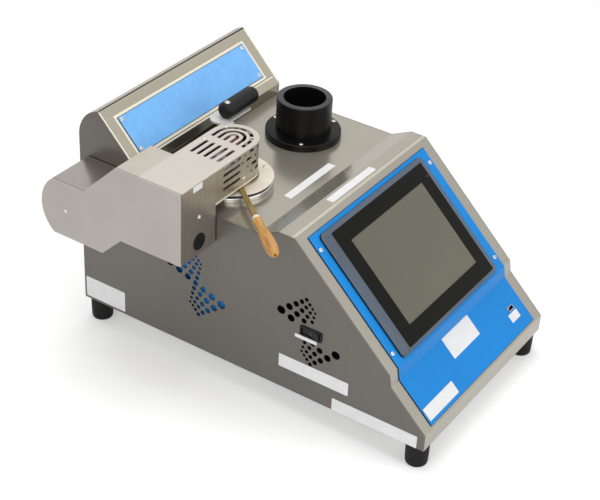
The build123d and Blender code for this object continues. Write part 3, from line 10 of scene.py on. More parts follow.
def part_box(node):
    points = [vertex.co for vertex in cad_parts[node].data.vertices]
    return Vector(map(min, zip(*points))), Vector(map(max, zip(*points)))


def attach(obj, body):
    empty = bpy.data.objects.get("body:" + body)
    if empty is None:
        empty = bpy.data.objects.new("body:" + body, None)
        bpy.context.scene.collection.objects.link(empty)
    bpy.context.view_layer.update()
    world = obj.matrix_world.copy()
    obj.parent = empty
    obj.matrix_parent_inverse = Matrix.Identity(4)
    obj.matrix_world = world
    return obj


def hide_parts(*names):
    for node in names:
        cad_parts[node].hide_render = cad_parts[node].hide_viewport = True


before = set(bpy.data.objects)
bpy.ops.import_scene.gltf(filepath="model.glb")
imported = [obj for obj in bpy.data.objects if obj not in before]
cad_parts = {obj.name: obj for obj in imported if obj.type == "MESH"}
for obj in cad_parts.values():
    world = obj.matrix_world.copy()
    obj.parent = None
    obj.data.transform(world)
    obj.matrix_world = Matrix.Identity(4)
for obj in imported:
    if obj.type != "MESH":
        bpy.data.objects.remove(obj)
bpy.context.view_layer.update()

bl_info = {
    "name": "Flash point tester dressing",
    "version": (1, 0, 0),
    "blender": (4, 5, 0),
    "location": "View3D > Sidebar > Tester",
    "description": "Finishes, labels and turned pieces for a bench flash point tester",
    "category": "Object",
}

MM = 0.001
COVER_LOW, COVER_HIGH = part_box("top_cover")
MIDDLE_X = (COVER_LOW.x + COVER_HIGH.x) / 2
FRONT_Y = COVER_LOW.y
PLATE_LOW, PLATE_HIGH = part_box("bath_plate")
BATH = Vector(((PLATE_LOW.x + PLATE_HIGH.x) / 2, (PLATE_LOW.y + PLATE_HIGH.y) / 2, 0))


# ---------------------------------------------------------------------------
# Places on the object, in mm right of the middle, behind the lip and above the bench
# ---------------------------------------------------------------------------
RIGHTWARD = Vector((1, 0, 0))
FORWARD = Vector((0, -1, 0))
REARWARD = Vector((0, 1, 0))
UPWARD = Vector((0, 0, 1))
LOWER_SLOPE = Vector((0, 52.4, 49.7)).normalized()
UPPER_SLOPE = Vector((0, 143.8, 137.2)).normalized()
TOWER_SLOPE = Vector((0, 64.0, 65.6)).normalized()
# Where each sheet starts, as (behind, above)
LOWER_START = (0.0, 56.5)
UPPER_START = (55.3, 122.4)
RIDGE_START = (199.1, 259.6)
TOWER_START = (434.0, 262.0)
HALF_WIDTH = 155.0
PANEL_HALF = 136.0
PANEL_TOP = 189.2
DECK_LEVEL = 245.8
HANDLE_TURN = math.radians(231.0)
HANDLE_WAY = Vector((math.cos(HANDLE_TURN), math.sin(HANDLE_TURN), 0))
# Where the tower gets a painted reflection of the head's dim side: it clears between two
# places across, and above a level on the slope
PAINTED_REFLECTION_ENDS = (0.062, 0.100)
PAINTED_REFLECTION_LEVEL = 0.2702


def at(right, behind, above):
    return Vector((MIDDLE_X + right * MM, FRONT_Y + behind * MM, above * MM))


def facing(slope):
    """The outward way of a sloping sheet."""
    return RIGHTWARD.cross(slope)


def on_lower_slope(right, along):
    return at(right, *LOWER_START) + LOWER_SLOPE * along * MM


def on_upper_slope(right, along):
    return at(right, *UPPER_START) + UPPER_SLOPE * along * MM


def on_ridge(right, along):
    return at(right, *RIDGE_START) + REARWARD * along * MM


def on_tower_slope(right, along):
    return at(right, *TOWER_START) + TOWER_SLOPE * along * MM


# ---------------------------------------------------------------------------
# What a user would change
# ---------------------------------------------------------------------------
def size(name, text, default):
    return FloatProperty(name=name, description=text, default=default, min=0.0, unit="LENGTH")


def colour(name, text, default):
    return FloatVectorProperty(
        name=name, description=text, default=default, size=3, min=0.0, max=1.0, subtype="COLOR"
    )


class TesterSizes(PropertyGroup):
    screw_radius: size("Screw head radius", "Radius of the pan-head screws", 3.0 * MM)
    screw_height: size("Screw head height", "Height of the pan-head screws", 1.4 * MM)
    label_thickness: size("Label thickness", "Thickness of the bare stick-on labels", 0.25 * MM)
    # The dark gaps are strips of painted shadow
    gap_width: size("Gap width", "Width of the dark gaps round the blue plates", 0.8 * MM)
    turned_steps: IntProperty(
        name="Turned steps", description="Steps round a turned piece", default=96, min=12
    )


class TesterColours(PropertyGroup):
    side_steel: colour("Side steel", "Brushed steel of the side panels", (0.156, 0.144, 0.129))
    deck_steel: colour("Deck steel", "Brushed steel of the deck", (0.43, 0.40, 0.335))
    # Painted light: the slopes are one sheet with the deck, given their own copy of its steel for
    # how they catch the light
    slope_steel: colour(
        "Slope steel", "Brushed steel round the control panel", (0.40, 0.375, 0.322)
    )
    tower_steel: colour("Tower steel", "Brushed steel of the tower", (0.47, 0.435, 0.35))
    head_steel: colour("Head steel", "Pale steel of the head's side plate", (0.47, 0.432, 0.405))
    head_shade: colour(
        "Head front steel", "Steel of the head's front and rear", (0.55, 0.505, 0.45)
    )
    nose_steel: colour("Nose steel", "Steel of the slotted nose cover", (0.595, 0.555, 0.495))
    wall_steel: colour("Nose wall steel", "Steel of the nose's wrapped wall", (0.46, 0.42, 0.33))
    panel_blue: colour("Panel blue", "Enamel of the control panel", (0.004, 0.240, 0.68))
    tower_blue: colour("Tower blue", "Enamel of the tower's panel", (0.20, 0.50, 0.95))
    plate_cream: colour("Plate cream", "Finish of the bath's top plate", (0.83, 0.75, 0.63))
    wood: colour("Handle wood", "Varnished wood of the cup's handle", (0.55, 0.275, 0.065))


def sizes():
    return bpy.context.scene.tester_sizes


def colours():
    return bpy.context.scene.tester_colours


# ---------------------------------------------------------------------------
# Materials
# ---------------------------------------------------------------------------
class Finish:
    """A node material under construction, with its textures in object coordinates."""

    def __init__(self, name, **sockets):
        self.material = bpy.data.materials.new(name)
        self.material.use_nodes = True
        self.tree = self.material.node_tree
        self.shader = self.tree.nodes["Principled BSDF"]
        self.coordinates = self.tree.nodes.new("ShaderNodeTexCoord").outputs["Object"]
        for socket, value in sockets.items():
            self.set(socket.replace("_", " "), value)

    def set(self, socket, value):
        if isinstance(value, (tuple, list)) and len(value) == 3:
            value = (*value, 1.0)
        self.shader.inputs[socket].default_value = value

    def link(self, output, node, socket):
        self.tree.links.new(output, node.inputs[socket])

    def mapped(self, scale=(1, 1, 1), turn=(0, 0, 0), centre=(0, 0, 0)):
        """Object coordinates round a centre, turned and stretched."""
        mapping = self.tree.nodes.new("ShaderNodeMapping")
        mapping.vector_type = "TEXTURE"
        mapping.inputs["Location"].default_value = centre
        mapping.inputs["Rotation"].default_value = turn
        mapping.inputs["Scale"].default_value = [1 / s for s in scale]
        self.link(self.coordinates, mapping, "Vector")
        return mapping.outputs["Vector"]

    def noise(self, scale, detail=3.0, roughness=0.5, vector=None, distortion=0.0):
        texture = self.tree.nodes.new("ShaderNodeTexNoise")
        texture.inputs["Scale"].default_value = scale
        texture.inputs["Detail"].default_value = detail
        texture.inputs["Roughness"].default_value = roughness
        texture.inputs["Distortion"].default_value = distortion
        self.link(vector or self.coordinates, texture, "Vector")
        return texture.outputs["Fac"]

    def ramp(self, factor, *stops):
        """A run of shades; stops are (place, shade)."""
        node = self.tree.nodes.new("ShaderNodeValToRGB")
        points = node.color_ramp.elements
        while len(points) < len(stops):
            points.new(0.5)
        for point, (place, shade) in zip(points, stops):
            point.position = place
            point.color = (*shade, 1.0)
        self.link(factor, node, "Fac")
        return node.outputs["Color"]

    def tint(self, factor, shade, low, high, start=0.3, end=0.7):
        """A shade that runs from low to high times itself as the factor rises."""
        dark = tuple(min(channel * low, 1.0) for channel in shade)
        light = tuple(min(channel * high, 1.0) for channel in shade)
        return self.ramp(factor, (start, dark), (end, light))

    def range(self, factor, low, high, start=0.3, end=0.7):
        """A level that runs from low to high as the factor goes from start to end."""
        node = self.tree.nodes.new("ShaderNodeMapRange")
        node.inputs["From Min"].default_value = start
        node.inputs["From Max"].default_value = end
        node.inputs["To Min"].default_value = low
        node.inputs["To Max"].default_value = high
        self.link(factor, node, "Value")
        return node.outputs["Result"]

    def mix(self, kind, factor, first, second):
        node = self.tree.nodes.new("ShaderNodeMix")
        node.data_type = "RGBA"
        node.blend_type = kind
        node.inputs["Factor"].default_value = factor
        self.tree.links.new(first, node.inputs["A"])
        self.tree.links.new(second, node.inputs["B"])
        return node.outputs["Result"]

    def bump(self, height, strength, distance):
        node = self.tree.nodes.new("ShaderNodeBump")
        node.inputs["Strength"].default_value = strength
        node.inputs["Distance"].default_value = distance
        self.link(height, node, "Height")
        self.link(node.outputs["Normal"], self.shader, "Normal")


MATERIALS = {}


def coat(make):
    """The material that a maker gives, made once and named after it."""
    name = make.__name__
    if name not in MATERIALS:
        MATERIALS[name] = make(name)
    return MATERIALS[name]


def combined(tree, operation, first, second):
    """A sum, product or the like of an output with another, or with a number."""
    node = tree.nodes.new("ShaderNodeMath")
    node.operation = operation
    tree.links.new(first, node.inputs[0])
    if isinstance(second, float):
        node.inputs[1].default_value = second
    else:
        tree.links.new(second, node.inputs[1])
    return node.outputs[0]


def cleared(made, level):
    """The mask of a painted reflection: 0 where the tower would mirror the head's dim side, 1 right
    of it or above a level.
    """
    parts = made.tree.nodes.new("ShaderNodeSeparateXYZ")
    made.link(made.coordinates, parts, "Vector")
    across = made.range(parts.outputs["X"], 0.0, 1.0, *PAINTED_REFLECTION_ENDS)
    if level is None:
        return across
    above = made.range(parts.outputs["Z"], 0.0, 1.0, level, level + MM)
    return combined(made.tree, "MAXIMUM", across, above)


def brushed(
    name,
    shade,
    grain,
    metal=0.9,
    roughness=0.35,
    depth=0.05,
    clouds=0.10,
    lift=0.05,
    dim=None,
    painted_reflection_below=None,
):
    """Brushed sheet steel: fine streaks along one axis over soft clouds, and at will a painted
    reflection.
    """
    made = Finish(name, Metallic=metal)
    fine_stretch, broad_stretch = (
        [along if axis == grain else across for axis in "XYZ"]
        for along, across in ((9.0, 1400.0), (3.0, 60.0))
    )
    streaks = made.noise(1.0, 4.0, 0.62, made.mapped(fine_stretch))
    broad = made.noise(1.0, 3.0, 0.55, made.mapped(broad_stretch))
    cloud = made.noise(7.0, 4.0, 0.6, distortion=0.4)
    fine = made.tint(streaks, shade, 1 - depth, 1 + depth)
    bands = made.ramp(broad, (0.3, (1 - depth / 2,) * 3), (0.7, (1.0,) * 3))
    soft = made.ramp(cloud, (0.3, (1 - clouds,) * 3), (0.72, (1.0,) * 3))
    toned = made.mix("MULTIPLY", 1.0, made.mix("MULTIPLY", 1.0, fine, bands), soft)
    # Painted reflection: darker on the left, where the tower would mirror the head
    if dim is not None:
        painted_reflection = made.ramp(cleared(made, painted_reflection_below), (0.0, (dim,) * 3), (1.0, (1.0,) * 3))
        toned = made.mix("MULTIPLY", 1.0, toned, painted_reflection)
    made.link(toned, made.shader, "Base Color")
    made.link(made.range(streaks, roughness * 0.85, roughness * 1.2), made.shader, "Roughness")
    made.bump(streaks, lift, 0.05 * MM)
    return made.material


def side_steel(name):
    return brushed(name, colours().side_steel, "Z", metal=0.80, roughness=0.40, clouds=0.06)


def deck_steel(name):
    shade = colours().deck_steel
    return brushed(
        name, shade, "X", metal=0.64, roughness=0.21, depth=0.03, clouds=0.05, lift=0.002
    )


# Painted light: the slopes' own copy of the sheet's steel, for how they catch the light
def slope_steel(name):
    shade = colours().slope_steel
    return brushed(
        name, shade, "X", metal=0.80, roughness=0.30, depth=0.03, clouds=0.08, lift=0.015
    )


def tower_steel(name):
    return brushed(name, colours().tower_steel, "X", metal=0.94, roughness=0.20)


def tower_slope_steel(name):
    """The tower's slope, with a painted reflection of the dim side of the head low on the left."""
    return brushed(
        name,
        colours().tower_steel,
        "X",
        metal=0.94,
        roughness=0.20,
        dim=0.20,
        painted_reflection_below=PAINTED_REFLECTION_LEVEL,
    )


def tower_foot_steel(name):
    """The tower's upright foot: darkened steel with a painted reflection of the head along its
    left.
    """
    return brushed(name, (0.20, 0.178, 0.135), "X", roughness=0.20, lift=0.02, dim=0.30)


def head_steel(name):
    shade = colours().head_steel
    return brushed(name, shade, "Y", metal=0.40, roughness=0.46, depth=0.015, clouds=0.13)


# Painted shade: a darker copy of the head's steel for its box's top faces
def head_top_steel(name):
    return brushed(name, (0.52, 0.485, 0.42), "X", metal=0.60, roughness=0.40, clouds=0.06)


def head_shade_steel(name):
    return brushed(name, colours().head_shade, "Z", metal=0.92, roughness=0.30, clouds=0.06)


def nose_top_steel(name):
    shade = colours().nose_steel
    return brushed(name, shade, "X", metal=0.60, roughness=0.40, depth=0.03, clouds=0.06)


def nose_wall_steel(name):
    return brushed(name, colours().wall_steel, "Z", metal=0.85, roughness=0.34, clouds=0.06)


def trim_steel(name):
    """Painted highlight: the pale bends and edges of the sheet metal, where they catch the light.
    """
    return brushed(name, (0.90, 0.85, 0.70), "X", metal=0.25, roughness=0.36, clouds=0.14)


def bare_steel(name):
    return brushed(name, (0.50, 0.50, 0.49), "Z")


def enamel(name, shade, mottle, scale, roughness):
    """Sprayed enamel: fine orange peel, a slow mottle and a clear gloss."""
    made = Finish(name, Specular_IOR_Level=0.25)
    slow = made.noise(scale, 5.0, 0.62, distortion=0.6)
    grain = made.noise(900.0, 2.0, 0.5)
    toned = made.tint(slow, shade, 1 - mottle, 1 + mottle)
    speck = made.ramp(grain, (0.35, (0.94,) * 3), (0.65, (1.0,) * 3))
    made.link(made.mix("MULTIPLY", 1.0, toned, speck), made.shader, "Base Color")
    made.link(made.range(slow, roughness - 0.05, roughness + 0.06), made.shader, "Roughness")
    made.bump(grain, 0.18, 0.04 * MM)
    return made.material


def panel_enamel(name):
    return enamel(name, colours().panel_blue, 0.03, 22.0, 0.40)


def tower_enamel(name):
    return enamel(name, colours().tower_blue, 0.07, 90.0, 0.32)


def baffle_enamel(name):
    return enamel(name, (0.02, 0.30, 0.85), 0.05, 30.0, 0.40)


def coated(name, shade, spread, gloss, cloud, grain=None, relief=None, **sockets):
    """A shade over slow clouds, with a grain that sets its gloss and its relief.

    Cloud and grain are what noise() takes; relief is (strength, depth in mm).
    """
    made = Finish(name, **sockets)
    slow = made.noise(*cloud)
    fine = made.noise(*grain) if grain else slow
    made.link(made.tint(slow, shade, *spread), made.shader, "Base Color")
    made.link(made.range(fine, *gloss), made.shader, "Roughness")
    if relief:
        strength, depth = relief
        made.bump(fine, strength, depth * MM)
    return made.material


def plate_finish(name):
    """The bath plate's warm cream coat, a little browned by heat."""
    heat = (18.0, 4.0, 0.6, None, 0.8)
    look = ((0.86, 1.06), (0.34, 0.48), heat, (1200.0, 2.0), (0.12, 0.04))
    return coated(name, colours().plate_cream, *look, Metallic=0.15)


def turned_metal(name, shade, metal, roughness):
    """Metal turned on a lathe: fine rings round the bath's axis."""
    made = Finish(name, Metallic=metal)
    waves = made.tree.nodes.new("ShaderNodeTexWave")
    waves.wave_type = "RINGS"
    waves.rings_direction = "Z"
    waves.inputs["Scale"].default_value = 900.0
    waves.inputs["Distortion"].default_value = 1.2
    waves.inputs["Detail"].default_value = 2.0
    made.link(made.mapped(centre=BATH), waves, "Vector")
    rings = waves.outputs["Fac"]
    cloud = made.noise(40.0, 3.0)
    made.link(made.tint(cloud, shade, 0.9, 1.08), made.shader, "Base Color")
    made.link(made.range(rings, roughness - 0.05, roughness + 0.08), made.shader, "Roughness")
    made.bump(rings, 0.06, 0.03 * MM)
    return made.material


def collar_chrome(name):
    return turned_metal(name, (0.56, 0.56, 0.54), 1.0, 0.16)


def cup_brass(name):
    return turned_metal(name, (0.30, 0.25, 0.15), 0.85, 0.34)


def golden_bar(name):
    """The cup's flat bar, browned and dull."""
    look = ((0.75, 1.25), (0.34, 0.48), (60.0, 4.0, 0.6), (900.0, 3.0), (0.10, 0.03))
    return coated(name, (0.270, 0.178, 0.060), *look, Metallic=0.45, Specular_IOR_Level=0.3)


def copper_can(name):
    """The reddish can of the shutter motor, seen through the nose's slots."""
    return coated(
        name, (0.24, 0.065, 0.04), (0.8, 1.2), (0.35, 0.5), (120.0, 3.0), Metallic=0.6
    )


def screw_steel(name):
    """Plated screws: bright, with faint tool marks."""
    look = ((0.85, 1.08), (0.20, 0.36), (700.0, 3.0), None, (0.10, 0.03))
    return coated(name, (0.66, 0.65, 0.62), *look, Metallic=1.0)


def anodised_black(name):
    """Black anodised aluminium: deep, satin, a little grey where it catches light."""
    look = ((0.8, 1.3), (0.30, 0.42), (30.0, 3.0), (1500.0, 3.0), (0.14, 0.03))
    return coated(name, (0.003, 0.003, 0.003), *look, Specular_IOR_Level=0.16)


def anodised_grey(name):
    """Painted light: the stand's top ring made greyer than its turned wall, as if lit from above.
    """
    look = ((0.7, 1.3), (0.34, 0.46), (25.0, 3.0), (1500.0, 3.0), (0.10, 0.03))
    return coated(name, (0.055, 0.055, 0.059), *look, Metallic=0.3, Specular_IOR_Level=0.3)


def moulded_black(name, roughness=0.46, shade=(0.007, 0.007, 0.007)):
    """Moulded black plastic with a fine spark-eroded grain."""
    gloss = (roughness - 0.07, roughness + 0.08)
    look = ((0.85, 1.25), gloss, (50.0, 3.0), (1300.0, 3.0, 0.6), (0.22, 0.05))
    return coated(name, shade, *look, Specular_IOR_Level=0.22)


def foot_rubber(name):
    return moulded_black(name, 0.66, (0.006, 0.006, 0.006))


def bezel_paint(name):
    """Slate-grey bezel, satin, with a fine powder grain."""
    look = ((0.92, 1.10), (0.36, 0.50), (14.0, 3.0), (1100.0, 3.0, 0.6), (0.18, 0.04))
    return coated(name, (0.080, 0.102, 0.135), *look, Specular_IOR_Level=0.25)


def black_glass(name):
    """The display's glossy black border."""
    look = ((0.85, 1.15), (0.10, 0.16), (5.0, 2.0))
    return coated(name, (0.008, 0.008, 0.006), *look, Specular_IOR_Level=0.09)


def resting_screen(name):
    """A switched-off display: grey-green, with a fine anti-glare sparkle."""
    made = Finish(name, Specular_IOR_Level=0.2)
    sparkle = made.noise(2600.0, 2.0)
    slow = made.noise(3.0, 2.0)
    toned = made.tint(slow, (0.142, 0.138, 0.104), 0.93, 1.06)
    speck = made.ramp(sparkle, (0.35, (0.95,) * 3), (0.65, (1.0,) * 3))
    made.link(made.mix("MULTIPLY", 1.0, toned, speck), made.shader, "Base Color")
    made.link(made.range(sparkle, 0.30, 0.40), made.shader, "Roughness")
    return made.material


def varnished_wood(name):
    """Straight-grained wood under varnish, its grain along the handle."""
    made = Finish(name, Coat_Weight=0.28, Coat_Roughness=0.18, Specular_IOR_Level=0.3)
    turn = (0, 0, HANDLE_TURN)
    grain = made.noise(1.0, 6.0, 0.65, made.mapped((18.0, 260.0, 260.0), turn, BATH), 0.8)
    pores = made.noise(1.0, 2.0, 0.5, made.mapped((60.0, 2200.0, 2200.0), turn, BATH))
    shade = colours().wood
    dark = tuple(channel * part for channel, part in zip(shade, (0.52, 0.42, 0.34)))
    light = tuple(min(channel * part, 1.0) for channel, part in zip(shade, (1.14, 1.22, 1.4)))
    toned = made.ramp(grain, (0.28, dark), (0.5, shade), (0.72, light))
    pored = made.ramp(pores, (0.30, (0.72,) * 3), (0.42, (1.0,) * 3))
    made.link(made.mix("MULTIPLY", 0.7, toned, pored), made.shader, "Base Color")
    made.link(made.range(grain, 0.30, 0.44), made.shader, "Roughness")
    made.bump(pores, 0.16, 0.05 * MM)
    return made.material


def label_vinyl(name):
    """Bare white label stock, slightly grey at its fibres."""
    made = Finish(name, Coat_Weight=0.15, Coat_Roughness=0.3)
    fibre = made.noise(1400.0, 4.0, 0.7)
    soft = made.noise(60.0, 3.0)
    toned = made.tint(soft, (0.82, 0.82, 0.83), 0.95, 1.03)
    speck = made.ramp(fibre, (0.3, (0.95,) * 3), (0.7, (1.0,) * 3))
    made.link(made.mix("MULTIPLY", 1.0, toned, speck), made.shader, "Base Color")
    made.link(made.range(fibre, 0.42, 0.55), made.shader, "Roughness")
    made.bump(fibre, 0.08, 0.02 * MM)
    return made.material


def gasket_rubber(name):
    return moulded_black(name, 0.55, (0.045, 0.055, 0.065))


def lamp_plastic(name):
    look = ((0.94, 1.04), (0.25, 0.35), (300.0, 2.0))
    return coated(name, (0.85, 0.85, 0.82), *look, Coat_Weight=0.5, Subsurface_Weight=0.2)


def gap_black(name):
    """Painted shadow: the dark of a shadow gap between two sheets, laid on edges, strips and
    recesses.
    """
    return moulded_black(name, 0.7, (0.004, 0.006, 0.012))


def dark_lens(name):
    """The unlit lamp beside the screen."""
    return moulded_black(name, 0.3, (0.045, 0.045, 0.045))


def inside_black(name):
    """Painted shade: near black for what lies unlit behind the slots and the vents."""
    return moulded_black(name, 0.7, (0.002, 0.002, 0.002))


def switch_mark(name):
    """The rocker's small green mark."""
    look = ((0.8, 1.2), (0.25, 0.35), (400.0, 2.0))
    return coated(name, (0.008, 0.085, 0.022), *look, Specular_IOR_Level=0.3)


def board_laminate(name):
    look = ((0.8, 1.2), (0.35, 0.5), (900.0, 3.0))
    return coated(name, (0.02, 0.16, 0.06), *look, Coat_Weight=0.3)


def fibre_wrap(name):
    look = ((0.75, 1.1), (0.75, 0.9), (500.0, 5.0, 0.7), None, (0.6, 0.3))
    return coated(name, (0.62, 0.58, 0.50), *look, Sheen_Weight=0.3)


def guard_white(name):
    """The pale powder coat of the grip's bracket."""
    look = ((0.92, 1.06), (0.36, 0.5), (40.0, 3.0), (900.0, 3.0), (0.15, 0.04))
    return coated(name, (0.62, 0.62, 0.60), *look, Metallic=0.2)


def piece(name, mesh_maker, finish, body, *stands_for, smooth=30.0, slot=None):
    """A new piece from a bmesh, with its finish, riding on a body."""
    shape = bmesh.new()
    mesh_maker(shape)
    mesh = bpy.data.meshes.new(name)
    shape.to_mesh(mesh)
    shape.free()
    mesh.shade_smooth()
    mesh.set_sharp_from_angle(angle=math.radians(smooth))
    made = bpy.data.objects.new(name, mesh)
    bpy.context.scene.collection.objects.link(made)
    mesh.materials.append(finish)
    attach(made, body)
    if stands_for:
        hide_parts(*stands_for)
    return made


def paint(made, finish, chosen):
    """Gives a further finish to the faces that a rule on (centre, normal) picks."""
    made.data.materials.append(finish)
    number = len(made.data.materials) - 1
    for face in made.data.polygons:
        if chosen(face.center, face.normal):
            face.material_index = number


def dress(node, finish):
    """Gives a CAD node its finish."""
    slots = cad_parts[node].data.materials
    slots.clear()
    slots.append(finish)


def welded(node, name, finish, body, edge=0.0, smooth=30.0):
    """A welded copy of a CAD node, smooth across its curves and eased at its edges."""

    def copy(shape):
        shape.from_mesh(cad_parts[node].data)
        bmesh.ops.remove_doubles(shape, verts=shape.verts, dist=0.01 * MM)
        bmesh.ops.dissolve_limit(
            shape,
            angle_limit=math.radians(0.6),
            verts=shape.verts,
            edges=shape.edges,
        )

    made = piece(name, copy, finish, body, node, smooth=smooth)
    if edge > 0:
        bevel = made.modifiers.new("eased edges", "BEVEL")
        bevel.width = edge
        bevel.segments = 2
        bevel.limit_method = "ANGLE"
        bevel.angle_limit = math.radians(40)
    return made


def weld_each(body, *rows):
    """Welded copies of several CAD nodes; rows are (node, name, maker of its finish, edge)."""
    for node, name, make, edge in rows:
        welded(node, name, coat(make), body, edge * MM)


def turn(shape, outline, origin, axis, steps):
    """Spins an outline of (along, out) points, in metres, round an axis."""
    axis = Vector(axis).normalized()
    side = axis.orthogonal().normalized()
    verts = [shape.verts.new(Vector(origin) + axis * a + side * r) for a, r in outline]
    edges = [shape.edges.new(pair) for pair in zip(verts, verts[1:])]
    bmesh.ops.spin(
        shape,
        geom=verts + edges,
        cent=origin,
        axis=axis,
        angle=math.tau,
        steps=steps,
        use_merge=True,
        use_duplicate=False,
    )
    bmesh.ops.remove_doubles(shape, verts=shape.verts, dist=0.002 * MM)
    bmesh.ops.recalc_face_normals(shape, faces=shape.faces)


def rounded(outline, corners):
    """Replaces named corners of an outline with short arcs of a given radius."""
    steps = 4
    points = []
    for number, place in enumerate(outline):
        radius = corners.get(number, 0.0)
        if not radius:
            points.append(place)
            continue
        here = Vector(place)
        before = (Vector(outline[number - 1]) - here).normalized()
        after = (Vector(outline[(number + 1) % len(outline)]) - here).normalized()
        first = here + before * radius
        last = here + after * radius
        for step in range(steps + 1):
            share = step / steps
            near = first.lerp(here, share).lerp(here.lerp(last, share), share)
            points.append(tuple(near))
    return points


def turned(
    name, outline, origin, axis, finish, body, *stands_for, corners=None, steps=None, slot=None
):
    """A lathe-turned piece."""
    points = rounded(outline, corners or {})
    return piece(
        name,
        lambda shape: turn(shape, points, origin, axis, steps or sizes().turned_steps),
        finish,
        body,
        *stands_for,
        smooth=35.0,
        slot=slot,
    )


def frame_of(origin, normal, across):
    """A matrix whose Z is the normal and X runs across."""
    z = Vector(normal).normalized()
    x = Vector(across)
    x = (x - z * x.dot(z)).normalized()
    y = z.cross(x)
    placed = Matrix((x, y, z)).transposed().to_4x4()
    placed.translation = Vector(origin)
    return placed


def label(name, centre, normal, across, width, height, body="cabinet"):
    """A bare stick-on label with rounded corners; its width and height are in mm."""

    def shape_label(shape):
        bmesh.ops.create_grid(shape, x_segments=1, y_segments=1, size=0.5)
        bmesh.ops.scale(shape, vec=(width * MM, height * MM, 1), verts=shape.verts)
        bmesh.ops.bevel(
            shape,
            geom=list(shape.verts),
            offset=0.8 * MM,
            affect="VERTICES",
            segments=4,
            profile=0.5,
            material=-1,
        )
        raised = bmesh.ops.extrude_face_region(shape, geom=list(shape.faces))
        top = [item for item in raised["geom"] if isinstance(item, bmesh.types.BMVert)]
        bmesh.ops.translate(shape, vec=(0, 0, sizes().label_thickness), verts=top)
        bmesh.ops.recalc_face_normals(shape, faces=shape.faces)
        bmesh.ops.transform(shape, matrix=frame_of(centre, normal, across), verts=shape.verts)

    return piece(name, shape_label, coat(label_vinyl), body, slot="lamp_white")


def strips(name, on, slope, places, rise, finish, slot):
    """Thin strips on a sheet; places are (left, right, near, far), and rise is in mm."""
    out = facing(slope)
    sunk = 0.05

    def shape_strips(shape):
        for left, right, near, far in places:
            middle = on((left + right) / 2, (near + far) / 2) + out * (rise - sunk) / 2 * MM
            sides = (right - left, far - near, rise + sunk)
            spread = Matrix.Diagonal((*(side * MM for side in sides), 1))
            bmesh.ops.create_cube(
                shape, size=1.0, matrix=frame_of(middle, out, RIGHTWARD) @ spread
            )

    return piece(name, shape_strips, finish, "cabinet", slot=slot)


def border(left, right, near, far, wide):
    """The four strips round a rectangle, as places for strips()."""
    return (
        (left - wide, left, near - wide, far + wide),
        (right, right + wide, near - wide, far + wide),
        (left, right, near - wide, near),
        (left, right, far, far + wide),
    )


def rounded_rectangle(left, right, near, far, corner, steps=8):
    """Points round a rectangle with rounded corners, anticlockwise from the near right."""
    centres = (
        (right - corner, near + corner, -90),
        (right - corner, far - corner, 0),
        (left + corner, far - corner, 90),
        (left + corner, near + corner, 180),
    )
    points = []
    for across, along, start in centres:
        for step in range(steps + 1):
            turn = math.radians(start + 90 * step / steps)
            points.append((across + corner * math.cos(turn), along + corner * math.sin(turn)))
    return points


def stacked(shape, loops, on, slope):
    """Extrudes a loop of points on a slope to each next (points, level), into a closed ring."""
    out = facing(slope)
    first, *others = (
        [on(*point) + out * level * MM for point in points] for points, level in loops
    )
    verts = [shape.verts.new(place) for place in first]
    edges = [shape.edges.new(pair) for pair in zip(verts, verts[1:] + verts[:1])]
    for places in others:
        grown = bmesh.ops.extrude_edge_only(shape, edges=edges)["geom"]
        new = {item for item in grown if isinstance(item, bmesh.types.BMVert)}
        verts = [
            next(far for edge in vert.link_edges for far in edge.verts if far in new)
            for vert in verts
        ]
        edges = [
            item
            for item in grown
            if isinstance(item, bmesh.types.BMEdge) and new.issuperset(item.verts)
        ]
        for vert, place in zip(verts, places):
            vert.co = place
    bmesh.ops.remove_doubles(shape, verts=shape.verts, dist=0.005 * MM)
    bmesh.ops.recalc_face_normals(shape, faces=shape.faces)


def screw_head(shape, radius, height):
    """A pan-head screw with a hexagonal socket, standing on the origin."""
    made = bmesh.ops.create_circle(shape, cap_ends=True, segments=24, radius=radius)
    base = made["verts"][0].link_faces[0]
    raised = bmesh.ops.extrude_face_region(shape, geom=[base])
    top = [item for item in raised["geom"] if isinstance(item, bmesh.types.BMVert)]
    bmesh.ops.translate(shape, vec=(0, 0, height), verts=top)
    rim = [edge for edge in shape.edges if min(vert.co.z for vert in edge.verts) > height * 0.9]
    bmesh.ops.bevel(
        shape,
        geom=rim,
        offset=height * 0.6,
        affect="EDGES",
        segments=4,
        profile=0.5,
        material=-1,
    )
    flat = max(
        shape.faces, key=lambda face: (round(face.calc_center_median().z, 6), face.calc_area())
    )
    bmesh.ops.inset_region(shape, faces=[flat], thickness=radius * 0.28)
    socket_corner = radius * 0.45
    half_side = math.radians(30)
    for vert in flat.verts:
        turn_to_flat = math.atan2(vert.co.y, vert.co.x) % (2 * half_side) - half_side
        reach = socket_corner * math.cos(half_side) / math.cos(turn_to_flat)
        vert.co.xy = vert.co.xy.normalized() * reach
    bmesh.ops.inset_region(shape, faces=[flat], thickness=radius * 0.03, depth=-height * 0.7)


def screw_set(name, places, finish, body, *stands_for):
    """Several screw heads as one piece; places are (point, normal)."""

    def shape_screws(shape):
        for point, normal in places:
            single = bmesh.new()
            screw_head(single, sizes().screw_radius, sizes().screw_height)
            bmesh.ops.recalc_face_normals(single, faces=single.faces)
            bmesh.ops.transform(
                single, matrix=frame_of(point, normal, RIGHTWARD), verts=single.verts
            )
            part = bpy.data.meshes.new("screw")
            single.to_mesh(part)
            single.free()
            shape.from_mesh(part)
            bpy.data.meshes.remove(part)

    return piece(name, shape_screws, finish, body, *stands_for, smooth=40.0)


